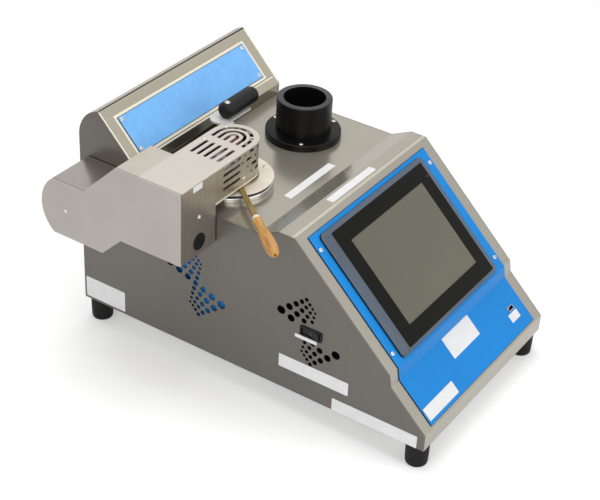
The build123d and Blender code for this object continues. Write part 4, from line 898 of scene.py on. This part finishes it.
def solids_of(node):
    """The separate solids of a CAD node, as (lowest, highest) corners."""
    shape = bmesh.new()
    shape.from_mesh(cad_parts[node].data)
    bmesh.ops.remove_doubles(shape, verts=shape.verts, dist=0.005 * MM)
    left = set(shape.verts)
    boxes = []
    while left:
        group = {left.pop()}
        edge = set(group)
        while edge:
            near = {e.other_vert(v) for v in edge for e in v.link_edges} - group
            group |= near
            edge = near
        left -= group
        boxes.append(
            (
                Vector([min(v.co[axis] for v in group) for axis in range(3)]),
                Vector([max(v.co[axis] for v in group) for axis in range(3)]),
            )
        )
    shape.free()
    return boxes


# ---------------------------------------------------------------------------
# Operators
# ---------------------------------------------------------------------------
class TESTER_OT_studio(Operator):
    """Floor, lights and the camera"""

    bl_idname = "tester.studio"
    bl_label = "Studio"
    bl_options = {"REGISTER", "UNDO"}

    # Name, place, width and depth in metres, and watts
    lamps = (
        ("overhead softbox", (0.15, 0.30, 2.1), 1.5, 1.5, 19.0),
        ("left fill", (-2.0, -0.6, 1.25), 1.8, 1.4, 16.0),
        ("front fill", (0.3, -2.2, 1.3), 1.6, 1.2, 16.0),
    )
    lamp_target = Vector((0, 0, 0.18))
    floor_glow = 0.24
    room_light = 0.44
    camera_place = (-1.39143, -0.87888, 1.25227)
    camera_angles = (-57.7511, 33.7423, 3.0736)  # turn, rise and roll, in degrees
    camera_lens = 92.04

    def execute(self, context):
        self.floor()
        self.world()
        for lamp in self.lamps:
            self.lamp(*lamp)
        self.camera()
        context.scene.view_settings.view_transform = "Standard"
        return {"FINISHED"}

    def floor(self):
        shape = bmesh.new()
        bmesh.ops.create_grid(shape, x_segments=8, y_segments=8, size=4.0)
        mesh = bpy.data.meshes.new("floor")
        shape.to_mesh(mesh)
        shape.free()
        floor = bpy.data.objects.new("floor", mesh)
        bpy.context.scene.collection.objects.link(floor)
        made = Finish("floor_paper")
        soft = made.noise(3.0, 3.0)
        made.link(made.tint(soft, (0.94, 0.94, 0.94), 0.99, 1.01), made.shader, "Base Color")
        made.link(made.range(soft, 0.85, 0.95), made.shader, "Roughness")
        made.set("Specular IOR Level", 0.1)
        rays = made.tree.nodes.new("ShaderNodeLightPath").outputs
        seen = combined(made.tree, "MAXIMUM", rays["Is Camera Ray"], rays["Is Glossy Ray"])
        made.set("Emission Color", (1, 1, 1))
        glow = combined(made.tree, "MULTIPLY", seen, self.floor_glow)
        made.link(glow, made.shader, "Emission Strength")
        mesh.materials.append(made.material)

    def world(self):
        world = bpy.data.worlds.new("pale room")
        world.use_nodes = True
        tree = world.node_tree
        background = tree.nodes["Background"]
        background.inputs["Color"].default_value = (1, 1, 1, 1)
        rays = tree.nodes.new("ShaderNodeLightPath").outputs
        seen = combined(tree, "MAXIMUM", rays["Is Camera Ray"], rays["Is Glossy Ray"])
        seen = combined(tree, "MAXIMUM", seen, rays["Is Transmission Ray"])
        level = tree.nodes.new("ShaderNodeMapRange")
        level.inputs["To Min"].default_value = self.room_light
        level.inputs["To Max"].default_value = 1.0
        tree.links.new(seen, level.inputs["Value"])
        tree.links.new(level.outputs["Result"], background.inputs["Strength"])
        bpy.context.scene.world = world

    def lamp(self, name, place, width, depth, energy):
        light = bpy.data.lights.new(name, "AREA")
        light.shape = "RECTANGLE"
        light.size = width
        light.size_y = depth
        light.energy = energy
        lamp = bpy.data.objects.new(name, light)
        bpy.context.scene.collection.objects.link(lamp)
        lamp.location = place
        way = self.lamp_target - lamp.location
        lamp.rotation_euler = way.to_track_quat("-Z", "Y").to_euler()

    def camera(self):
        turn, rise, roll = (math.radians(angle) for angle in self.camera_angles)
        right = Vector((math.cos(turn), math.sin(turn), 0))
        back = right.cross(UPWARD) * math.cos(rise) + UPWARD * math.sin(rise)
        up = back.cross(right)
        across = right * math.cos(roll) + up * math.sin(roll)
        upright = up * math.cos(roll) - right * math.sin(roll)
        view = bpy.data.cameras.new("front left view")
        view.sensor_width = 36.0
        view.lens = self.camera_lens
        view.clip_end = 20.0
        camera = bpy.data.objects.new("front left view", view)
        bpy.context.scene.collection.objects.link(camera)
        placed = Matrix((across, upright, back)).transposed().to_4x4()
        placed.translation = self.camera_place
        camera.matrix_world = placed
        bpy.context.scene.camera = camera


class TESTER_OT_cabinet(Operator):
    """Folded sheets of the cabinet: sides, deck, slopes, tower, base and rear"""

    bl_idname = "tester.cabinet"
    bl_label = "Cabinet sheets"
    bl_options = {"REGISTER", "UNDO"}

    def execute(self, context):
        sides = coat(side_steel)
        for node in ("left_side_panel", "right_side_panel", "rear_panel"):
            dress(node, sides)
        dress("base_tray", coat(bare_steel))
        shell = welded("top_cover", "deck_shell", coat(deck_steel), "cabinet")
        # Painted light: the slope faces get their own copy of the sheet's steel
        paint(shell, coat(slope_steel), lambda centre, normal: normal.y < -0.3)
        outward = facing(TOWER_SLOPE)
        tower = welded("tower_cover", "tower_shell", coat(tower_steel), "cabinet")
        # Painted shade: the tower's end faces take the darker side steel, for the light that falls
        # on them
        paint(tower, sides, lambda centre, normal: abs(normal.x) > 0.9)
        # Painted reflection: the foot and the slope darken on the left, where they would mirror the
        # head
        paint(tower, coat(tower_foot_steel), lambda centre, normal: normal.y < -0.95)
        paint(tower, coat(tower_slope_steel), lambda centre, normal: normal.dot(outward) > 0.9)
        plate = welded("tower_panel", "tower_plate", coat(tower_enamel), "cabinet")
        # Painted shadow: the tower plate's edge faces are dark
        paint(plate, coat(gap_black), lambda centre, normal: abs(normal.dot(outward)) < 0.5)
        self.lines()
        return {"FINISHED"}

    def lines(self):
        """Painted shadow gaps and painted highlights round the tower's plate and along the ridge.
        """
        dark = coat(gap_black)
        pale = coat(trim_steel)
        gap = sizes().gap_width / MM
        half, near, far = 133.3, 19.3, 71.8
        fold_left, fold_right, fold = -148.0, 150.0, 13.6
        gaps = (
            *border(-half, half, near, far, gap),
            (-153.5, 153.5, 89.9, 91.3),
            (fold_left, fold_right, fold, 14.3),
        )
        strips("tower_painted_shadows", on_tower_slope, TOWER_SLOPE, gaps, 0.12, dark, "tower_blue")
        highlight_places = (
            *border(-half - gap, half + gap, near - gap, far + gap, 3.6),
            (-154.8, -152.6, 4.0, 89.0),
            (153.0, 154.8, 4.0, 89.0),
            (fold_left, fold_right, 11.4, fold),
        )
        strips("tower_painted_highlights", on_tower_slope, TOWER_SLOPE, highlight_places, 0.10, pale, "body_enamel")
        bends = ((-154.0, 154.0, 0.9, 1.6), (-154.0, 154.0, 3.1, 3.8))
        strips("ridge_painted_highlights", on_ridge, REARWARD, bends, 0.06, pale, "body_enamel")


class TESTER_OT_control_panel(Operator):
    """The blue control panel with its bezel and display"""

    bl_idname = "tester.control_panel"
    bl_label = "Control panel"
    bl_options = {"REGISTER", "UNDO"}

    def execute(self, context):
        dark = coat(gap_black)
        plate = welded("front_panel", "control_plate", coat(panel_enamel), "cabinet")
        # Painted shadow: the control plate's side faces are dark
        paint(plate, dark, lambda centre, normal: abs(normal.x) > 0.9)
        self.bezel()
        self.glass()
        dress("display_screen", coat(resting_screen))
        dress("display_case", coat(moulded_black))
        outward = facing(LOWER_SLOPE)
        port = welded("usb_socket", "usb_port", coat(screw_steel), "cabinet")
        # Painted shade: the socket's inner faces are dark
        paint(port, dark, lambda centre, normal: normal.dot(outward) < 0.9)
        self.pilot_light()
        self.gaps()
        return {"FINISHED"}

    def gaps(self):
        """Painted shadow gaps: dark strips beside and over the blue plate, on both slopes."""
        dark = coat(gap_black)
        gap = sizes().gap_width / MM
        half, top = PANEL_HALF, PANEL_TOP
        upper = (
            (-half - gap, -half, 0.5, top + gap),
            (half, half + gap, 0.5, top + gap),
            (-half, half, top, top + gap),
        )
        strips("upper_painted_shadows", on_upper_slope, UPPER_SLOPE, upper, 0.12, dark, "panel_blue")
        lower = (
            (-half - gap, -half, 3.2, 71.0),
            (half, half + gap, 3.2, 71.0),
            (-half, half, 3.2, 4.0),
        )
        strips("lower_painted_shadows", on_lower_slope, LOWER_SLOPE, lower, 0.12, dark, "panel_blue")

    def bezel(self):
        """A raised frame whose faces slope up to the glass."""

        def shape_bezel(shape):
            back, rise, glass = 1.15, 4.6, 8.9
            opening = rounded_rectangle(-107.6, 105.2, 9.5, 177.2, 2.2)
            outside = rounded_rectangle(-121.5, 117.4, 4.0, 183.5, 6.5)
            loops = (
                (opening, back),
                (outside, back),
                (outside, rise - 0.7),
                (rounded_rectangle(-120.9, 116.8, 4.6, 182.9, 6.0), rise),
                (rounded_rectangle(-108.4, 105.9, 8.8, 177.9, 2.4), glass),
                (opening, glass - 0.1),
                (opening, back),
            )
            stacked(shape, loops, on_upper_slope, UPPER_SLOPE)

        outward = facing(UPPER_SLOPE)
        made = piece(
            "bezel", shape_bezel, coat(bezel_paint), "cabinet", "display_bezel", smooth=28.0
        )
        # Painted shadow: the bezel's side faces are dark
        paint(made, coat(gap_black), lambda centre, normal: abs(normal.dot(outward)) < 0.3)

    def glass(self):
        """The glass border, as wide as the bezel's opening, with the screen's window in it."""

        def shape_glass(shape):
            back, front = 7.3, 8.7
            outer = rounded_rectangle(-107.7, 105.3, 9.4, 177.3, 2.2)
            inner = rounded_rectangle(-84.75, 84.75, 30.9, 155.9, 0.05)
            loops = ((inner, back), (outer, back), (outer, front), (inner, front), (inner, back))
            stacked(shape, loops, on_upper_slope, UPPER_SLOPE)

        piece("glass_border", shape_glass, coat(black_glass), "cabinet", "display_glass")

    def pilot_light(self):
        """A small unlit lamp under the glass's corner."""
        outward = facing(UPPER_SLOPE)
        dome = ((-0.05, 0.0), (-0.05, 1.5), (0.25, 1.3), (0.45, 0.6), (0.5, 0.0))
        turned(
            "pilot_light",
            [(along * MM, out * MM) for along, out in dome],
            on_upper_slope(100.5, 158) + outward * 8.7 * MM,
            outward,
            coat(dark_lens),
            "cabinet",
            steps=24,
            slot="display_black",
        )


class TESTER_OT_feet(Operator):
    """Turned rubber feet with their fixing recesses"""

    bl_idname = "tester.feet"
    bl_label = "Feet"
    bl_options = {"REGISTER", "UNDO"}

    # Shares of the foot's height and of its radius, from the top round to the recess
    outline = (
        (1.0, 0.0),
        (1.0, 1.0),
        (0.45, 0.985),
        (0.16, 0.96),
        (0.10, 0.955),
        (0.0, 0.90),
        (0.0, 0.45),
        (0.35, 0.42),
        (0.35, 0.0),
    )
    corners = {1: 0.8 * MM, 4: 0.5 * MM, 5: 1.4 * MM, 6: 0.8 * MM}

    def execute(self, context):
        rubber = coat(foot_rubber)
        for node in ("foot_front_left", "foot_front_right", "foot_rear_left", "foot_rear_right"):
            low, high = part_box(node)
            centre = Vector(((low.x + high.x) / 2, (low.y + high.y) / 2, 0))
            radius = (high.x - low.x) / 2
            turned(
                node + "_turned",
                [(high.z * up, radius * out) for up, out in self.outline],
                centre,
                UPWARD,
                rubber,
                "cabinet",
                node,
                corners=self.corners,
            )
        return {"FINISHED"}


class TESTER_OT_bath(Operator):
    """The heated bath: collar, gasket, top plate, block and cup"""

    bl_idname = "tester.bath"
    bl_label = "Bath"
    bl_options = {"REGISTER", "UNDO"}

    def execute(self, context):
        weld_each(
            "cabinet",
            ("bath_collar", "collar", collar_chrome, 0.3),
            ("bath_gasket", "heat_gasket", gasket_rubber, 0.0),
            ("bath_plate", "top_plate", plate_finish, 0.3),
            ("bath_block", "heater_block", bare_steel, 0.0),
            ("test_cup", "cup", cup_brass, 0.2),
        )
        dress("bath_insulation", coat(fibre_wrap))
        return {"FINISHED"}


class TESTER_OT_cup_handle(Operator):
    """The cup's bar, ferrule and turned wooden handle"""

    bl_idname = "tester.cup_handle"
    bl_label = "Cup handle"
    bl_options = {"REGISTER", "UNDO"}

    # Shares of the wood's length and of its widest radius, from the ferrule to the
    # hole in its end
    outline = (
        (0.0, 0.35),
        (0.0, 0.66),
        (0.018, 0.76),
        (0.050, 0.775),
        (0.080, 0.72),
        (0.105, 0.645),
        (0.14, 0.62),
        (0.22, 0.66),
        (0.34, 0.77),
        (0.48, 0.90),
        (0.62, 0.985),
        (0.72, 1.0),
        (0.82, 0.965),
        (0.90, 0.86),
        (0.955, 0.70),
        (0.985, 0.52),
        (0.998, 0.32),
        (1.0, 0.20),
        (0.99, 0.16),
        (0.86, 0.15),
        (0.86, 0.0),
    )

    def execute(self, context):
        weld_each(
            "cabinet",
            ("cup_handle_bar", "handle_bar", golden_bar, 0.4),
            ("handle_ferrule", "ferrule", plate_finish, 0.3),
        )
        self.wood()
        return {"FINISHED"}

    def wood(self):
        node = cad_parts["wooden_handle"]
        reach = [(vert.co - BATH).dot(HANDLE_WAY) for vert in node.data.vertices]
        start, length = min(reach), max(reach) - min(reach)
        low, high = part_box("wooden_handle")
        widest = (high.z - low.z) / 2
        made = turned(
            "wood_grip",
            [(length * along, widest * out) for along, out in self.outline],
            BATH + HANDLE_WAY * start + UPWARD * (low.z + high.z) / 2,
            HANDLE_WAY,
            coat(varnished_wood),
            "cabinet",
            "wooden_handle",
        )
        smooth = made.modifiers.new("rounder swell", "SUBSURF")
        smooth.levels = smooth.render_levels = 1


class TESTER_OT_cup_stand(Operator):
    """The black stand that the cup waits in"""

    bl_idname = "tester.cup_stand"
    bl_label = "Cup stand"
    bl_options = {"REGISTER", "UNDO"}

    def execute(self, context):
        stand = welded("cup_stand", "stand", coat(anodised_black), "cabinet", 0.35 * MM)
        ring = 0.29  # only the ring at the stand's top lies above this level
        # Painted light: the stand's top ring is greyer, as if lit from above
        paint(stand, coat(anodised_grey), lambda centre, normal: normal.z > 0.9 and centre.z > ring)
        return {"FINISHED"}


class TESTER_OT_head(Operator):
    """The swinging head's sheets and what they carry"""

    bl_idname = "tester.head"
    bl_label = "Head"
    bl_options = {"REGISTER", "UNDO"}

    def execute(self, context):
        shade = coat(head_shade_steel)
        dress("head_side_plate", coat(head_steel))
        dress("head_frame", shade)
        inside = coat(inside_black)
        shell = welded("head_cover", "head_shell", shade, "head")
        box_level = 0.3  # only the top of the head's box lies above this level
        # Painted shade: the box's top faces are darker than its front and rear
        paint(shell, coat(head_top_steel), lambda c, n: n.z > 0.95 and c.z > box_level)
        lid = welded("nose_cover", "nose_lid", coat(nose_top_steel), "head")
        # Painted shade: the lid's underside and the wall's inner faces are near black
        paint(lid, inside, lambda c, n: n.z < -0.9)
        wrap = welded("nose_wall", "nose_wrap", coat(nose_wall_steel), "head")
        paint(wrap, inside, self.faces_inwards)
        hem_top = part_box("nose_wall")[0].z + 2.85 * MM
        # Painted highlight: the hem's pale band along the wall's foot
        paint(wrap, coat(trim_steel), lambda c, n: c.z < hem_top and abs(n.z) < 0.5)
        weld_each(
            "head",
            ("head_plug", "plug", moulded_black, 0.3),
            ("head_lamp", "lamp", lamp_plastic, 0.0),
            ("pivot_bush", "bush", cup_brass, 0.0),
            ("handle_bracket", "bracket", guard_white, 0.3),
            ("head_grip", "grip", moulded_black, 0.4),
        )
        return {"FINISHED"}

    @staticmethod
    def faces_inwards(centre, normal):
        """Whether a face of the nose's wall looks towards the middle of the nose."""
        along = max(centre.x - BATH.x, 0)
        return (centre.y - BATH.y) * normal.y + along * normal.x < 0


class TESTER_OT_lid(Operator):
    """The test lid with its shutter, igniter, probe and motor"""

    bl_idname = "tester.lid"
    bl_label = "Test lid"
    bl_options = {"REGISTER", "UNDO"}

    def execute(self, context):
        weld_each(
            "head",
            ("test_lid", "lid_plate", cup_brass, 0.2),
            ("temperature_probe", "probe", screw_steel, 0.0),
            ("shutter_bridge", "bridge", bare_steel, 0.0),
            ("shutter_motor", "motor", copper_can, 0.3),
        )
        weld_each("shutter_disc", ("shutter", "lid_shutter", bare_steel, 0.0))
        weld_each("igniter_rod", ("igniter", "igniter_tip", screw_steel, 0.0))
        return {"FINISHED"}


class TESTER_OT_fasteners(Operator):
    """Pan-head screws with hexagonal sockets, and the pivot's turned parts"""

    bl_idname = "tester.fasteners"
    bl_label = "Fasteners"
    bl_options = {"REGISTER", "UNDO"}

    def execute(self, context):
        for node, body in (
            ("deck_screws", "cabinet"),
            ("panel_screws", "cabinet"),
            ("nose_screws", "head"),
        ):
            places = [self.seat(*corners) for corners in solids_of(node)]
            screw_set(node + "_turned", places, coat(screw_steel), body, node)
        weld_each(
            "head",
            ("pivot_screw", "pivot_screw_turned", screw_steel, 0.2),
            ("grip_screw", "grip_screw_turned", screw_steel, 0.2),
        )
        weld_each(
            "cabinet",
            ("pivot_shaft", "shaft", screw_steel, 0.0),
            ("pivot_backing", "backing", bare_steel, 0.0),
            ("pivot_retainer", "retainer", bare_steel, 0.0),
        )
        return {"FINISHED"}

    def seat(self, low, high):
        """The foot of a screw head and the way it faces, from its solid's corners."""
        middle, half = (low + high) / 2, (high - low) / 2
        way = self.way_at(middle)
        if way.z > 0:
            lean = sizes().screw_radius * math.sqrt(1 - way.z**2)
            reach = max((half.z - lean) / way.z, 0.0)
        else:
            reach = half.y
        return middle + way * (reach - sizes().screw_height), way

    def way_at(self, middle):
        """The way that a screw at this place faces."""
        right, behind = abs(middle.x - MIDDLE_X) / MM, (middle.y - FRONT_Y) / MM
        above = middle.z / MM
        on_rear = behind > 520
        on_tower = behind > 430
        beside_display = right > 120 and behind < 300 and above < 270
        on_nose_front = 262 < above < 280
        if on_rear:
            return REARWARD
        if on_tower:
            return facing(TOWER_SLOPE)
        if beside_display:
            return facing(UPPER_SLOPE)
        if on_nose_front:
            return FORWARD
        return UPWARD


class TESTER_OT_switch(Operator):
    """The power rocker in its frame on the left side"""

    bl_idname = "tester.switch"
    bl_label = "Power switch"
    bl_options = {"REGISTER", "UNDO"}

    mark_size = (0.5 * MM, 2.4 * MM, 5.2 * MM)

    def execute(self, context):
        weld_each("cabinet", ("switch_frame", "rocker_frame", moulded_black, 0.25))
        weld_each("rocker", ("switch_rocker", "rocker_key", moulded_black, 0.4))
        piece("rocker_mark", self.mark, coat(switch_mark), "rocker", slot="board_green")
        return {"FINISHED"}

    def mark(self, shape):
        """A small raised bar across the rocker's middle."""
        low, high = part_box("switch_rocker")
        place = (low + high) / 2
        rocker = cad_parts["switch_rocker"].data.vertices
        near = [vert.co.x for vert in rocker if abs(vert.co.y - place.y) < 3 * MM]
        place.x = min(near, default=low.x)
        bmesh.ops.create_cube(shape, size=1.0)
        bmesh.ops.scale(shape, vec=self.mark_size, verts=shape.verts)
        bmesh.ops.bevel(
            shape,
            geom=list(shape.edges),
            offset=0.15 * MM,
            affect="EDGES",
            segments=2,
            profile=0.5,
            material=-1,
        )
        bmesh.ops.translate(shape, vec=place, verts=shape.verts)


class TESTER_OT_rear(Operator):
    """Fan, its guard and the power inlet"""

    bl_idname = "tester.rear"
    bl_label = "Rear fittings"
    bl_options = {"REGISTER", "UNDO"}

    def execute(self, context):
        weld_each("cabinet", ("fan_frame", "fan_housing", moulded_black, 0.0))
        weld_each("rotor", ("fan_rotor", "fan_blades", moulded_black, 0.0))
        weld_each(
            "cabinet",
            ("fan_guard", "fan_wires", screw_steel, 0.0),
            ("power_inlet", "inlet", moulded_black, 0.25),
        )
        return {"FINISHED"}


class TESTER_OT_insides(Operator):
    """What shows through the vents"""

    bl_idname = "tester.insides"
    bl_label = "Insides"
    bl_options = {"REGISTER", "UNDO"}

    def execute(self, context):
        dress("air_baffle", coat(baffle_enamel))
        dress("controller_board", coat(board_laminate))
        dress("power_supply", coat(inside_black))
        return {"FINISHED"}


class TESTER_OT_labels(Operator):
    """Bare stick-on labels, each in its place"""

    bl_idname = "tester.labels"
    bl_label = "Labels"
    bl_options = {"REGISTER", "UNDO"}

    # Name, then in mm: behind the lip, above the bench, width and height
    on_side = (
        ("rating_label", 493.0, 52.5, 66.0, 31.0),
        ("side_strip_label", 161.6, 74.4, 102.4, 19.3),
        ("side_foot_label", 71.0, 42.5, 122.0, 18.0),
        ("switch_label", 175.0, 122.5, 32.0, 5.0),
    )
    # Name, then in mm: right of the middle, behind the lip, above the bench, width and height
    on_top = (
        ("ridge_label_front", -8.75, 211.75, RIDGE_START[1], 100.5, 10.5),
        ("deck_label_front", -14.0, 269.5, DECK_LEVEL, 102.0, 11.0),
    )
    # Name, then in mm: right of the middle, up the lower slope, width and height
    on_panel = (
        ("lower_label_middle", -2.15, 56.65, 65.3, 29.9),
        ("lower_label_left", -98.0, 17.1, 70.0, 17.0),
        ("port_label", 107.15, 25.9, 21.3, 11.4),
    )
    panel_thickness = 1.2

    def execute(self, context):
        for name, behind, above, wide, high in self.on_side:
            label(name, at(-HALF_WIDTH, behind, above), -RIGHTWARD, REARWARD, wide, high)
        for name, right, behind, above, wide, high in self.on_top:
            label(name, at(right, behind, above), UPWARD, RIGHTWARD, wide, high)
        outward = facing(LOWER_SLOPE)
        for name, right, along, wide, high in self.on_panel:
            place = on_lower_slope(right, along) + outward * self.panel_thickness * MM
            label(name, place, outward, RIGHTWARD, wide, high)
        label("head_label", at(-192.5, 313, 305), FORWARD, RIGHTWARD, 18.0, 8.0, body="head")
        return {"FINISHED"}


PIECES = (
    TESTER_OT_studio,
    TESTER_OT_cabinet,
    TESTER_OT_control_panel,
    TESTER_OT_feet,
    TESTER_OT_bath,
    TESTER_OT_cup_handle,
    TESTER_OT_cup_stand,
    TESTER_OT_head,
    TESTER_OT_lid,
    TESTER_OT_fasteners,
    TESTER_OT_switch,
    TESTER_OT_rear,
    TESTER_OT_insides,
    TESTER_OT_labels,
)


class TESTER_PT_panel(Panel):
    """Lists the tester's sizes, colours and pieces"""

    bl_idname = "TESTER_PT_panel"
    bl_label = "Flash Point Tester"
    bl_space_type = "VIEW_3D"
    bl_region_type = "UI"
    bl_category = "Tester"

    def draw(self, context):
        for group in (context.scene.tester_sizes, context.scene.tester_colours):
            box = self.layout.box()
            for name in group.bl_rna.properties.keys():
                if name not in ("rna_type", "name"):
                    box.prop(group, name)
        for kind in PIECES:
            self.layout.operator(kind.bl_idname)


CLASSES = (TesterSizes, TesterColours, *PIECES, TESTER_PT_panel)


def register():
    for kind in CLASSES:
        bpy.utils.register_class(kind)
    bpy.types.Scene.tester_sizes = PointerProperty(type=TesterSizes)
    bpy.types.Scene.tester_colours = PointerProperty(type=TesterColours)


def unregister():
    del bpy.types.Scene.tester_sizes
    del bpy.types.Scene.tester_colours
    for kind in reversed(CLASSES):
        bpy.utils.unregister_class(kind)


def main():
    register()
    for kind in PIECES:
        group, name = kind.bl_idname.split(".")
        getattr(getattr(bpy.ops, group), name)()


if __name__ == "__main__":
    main()
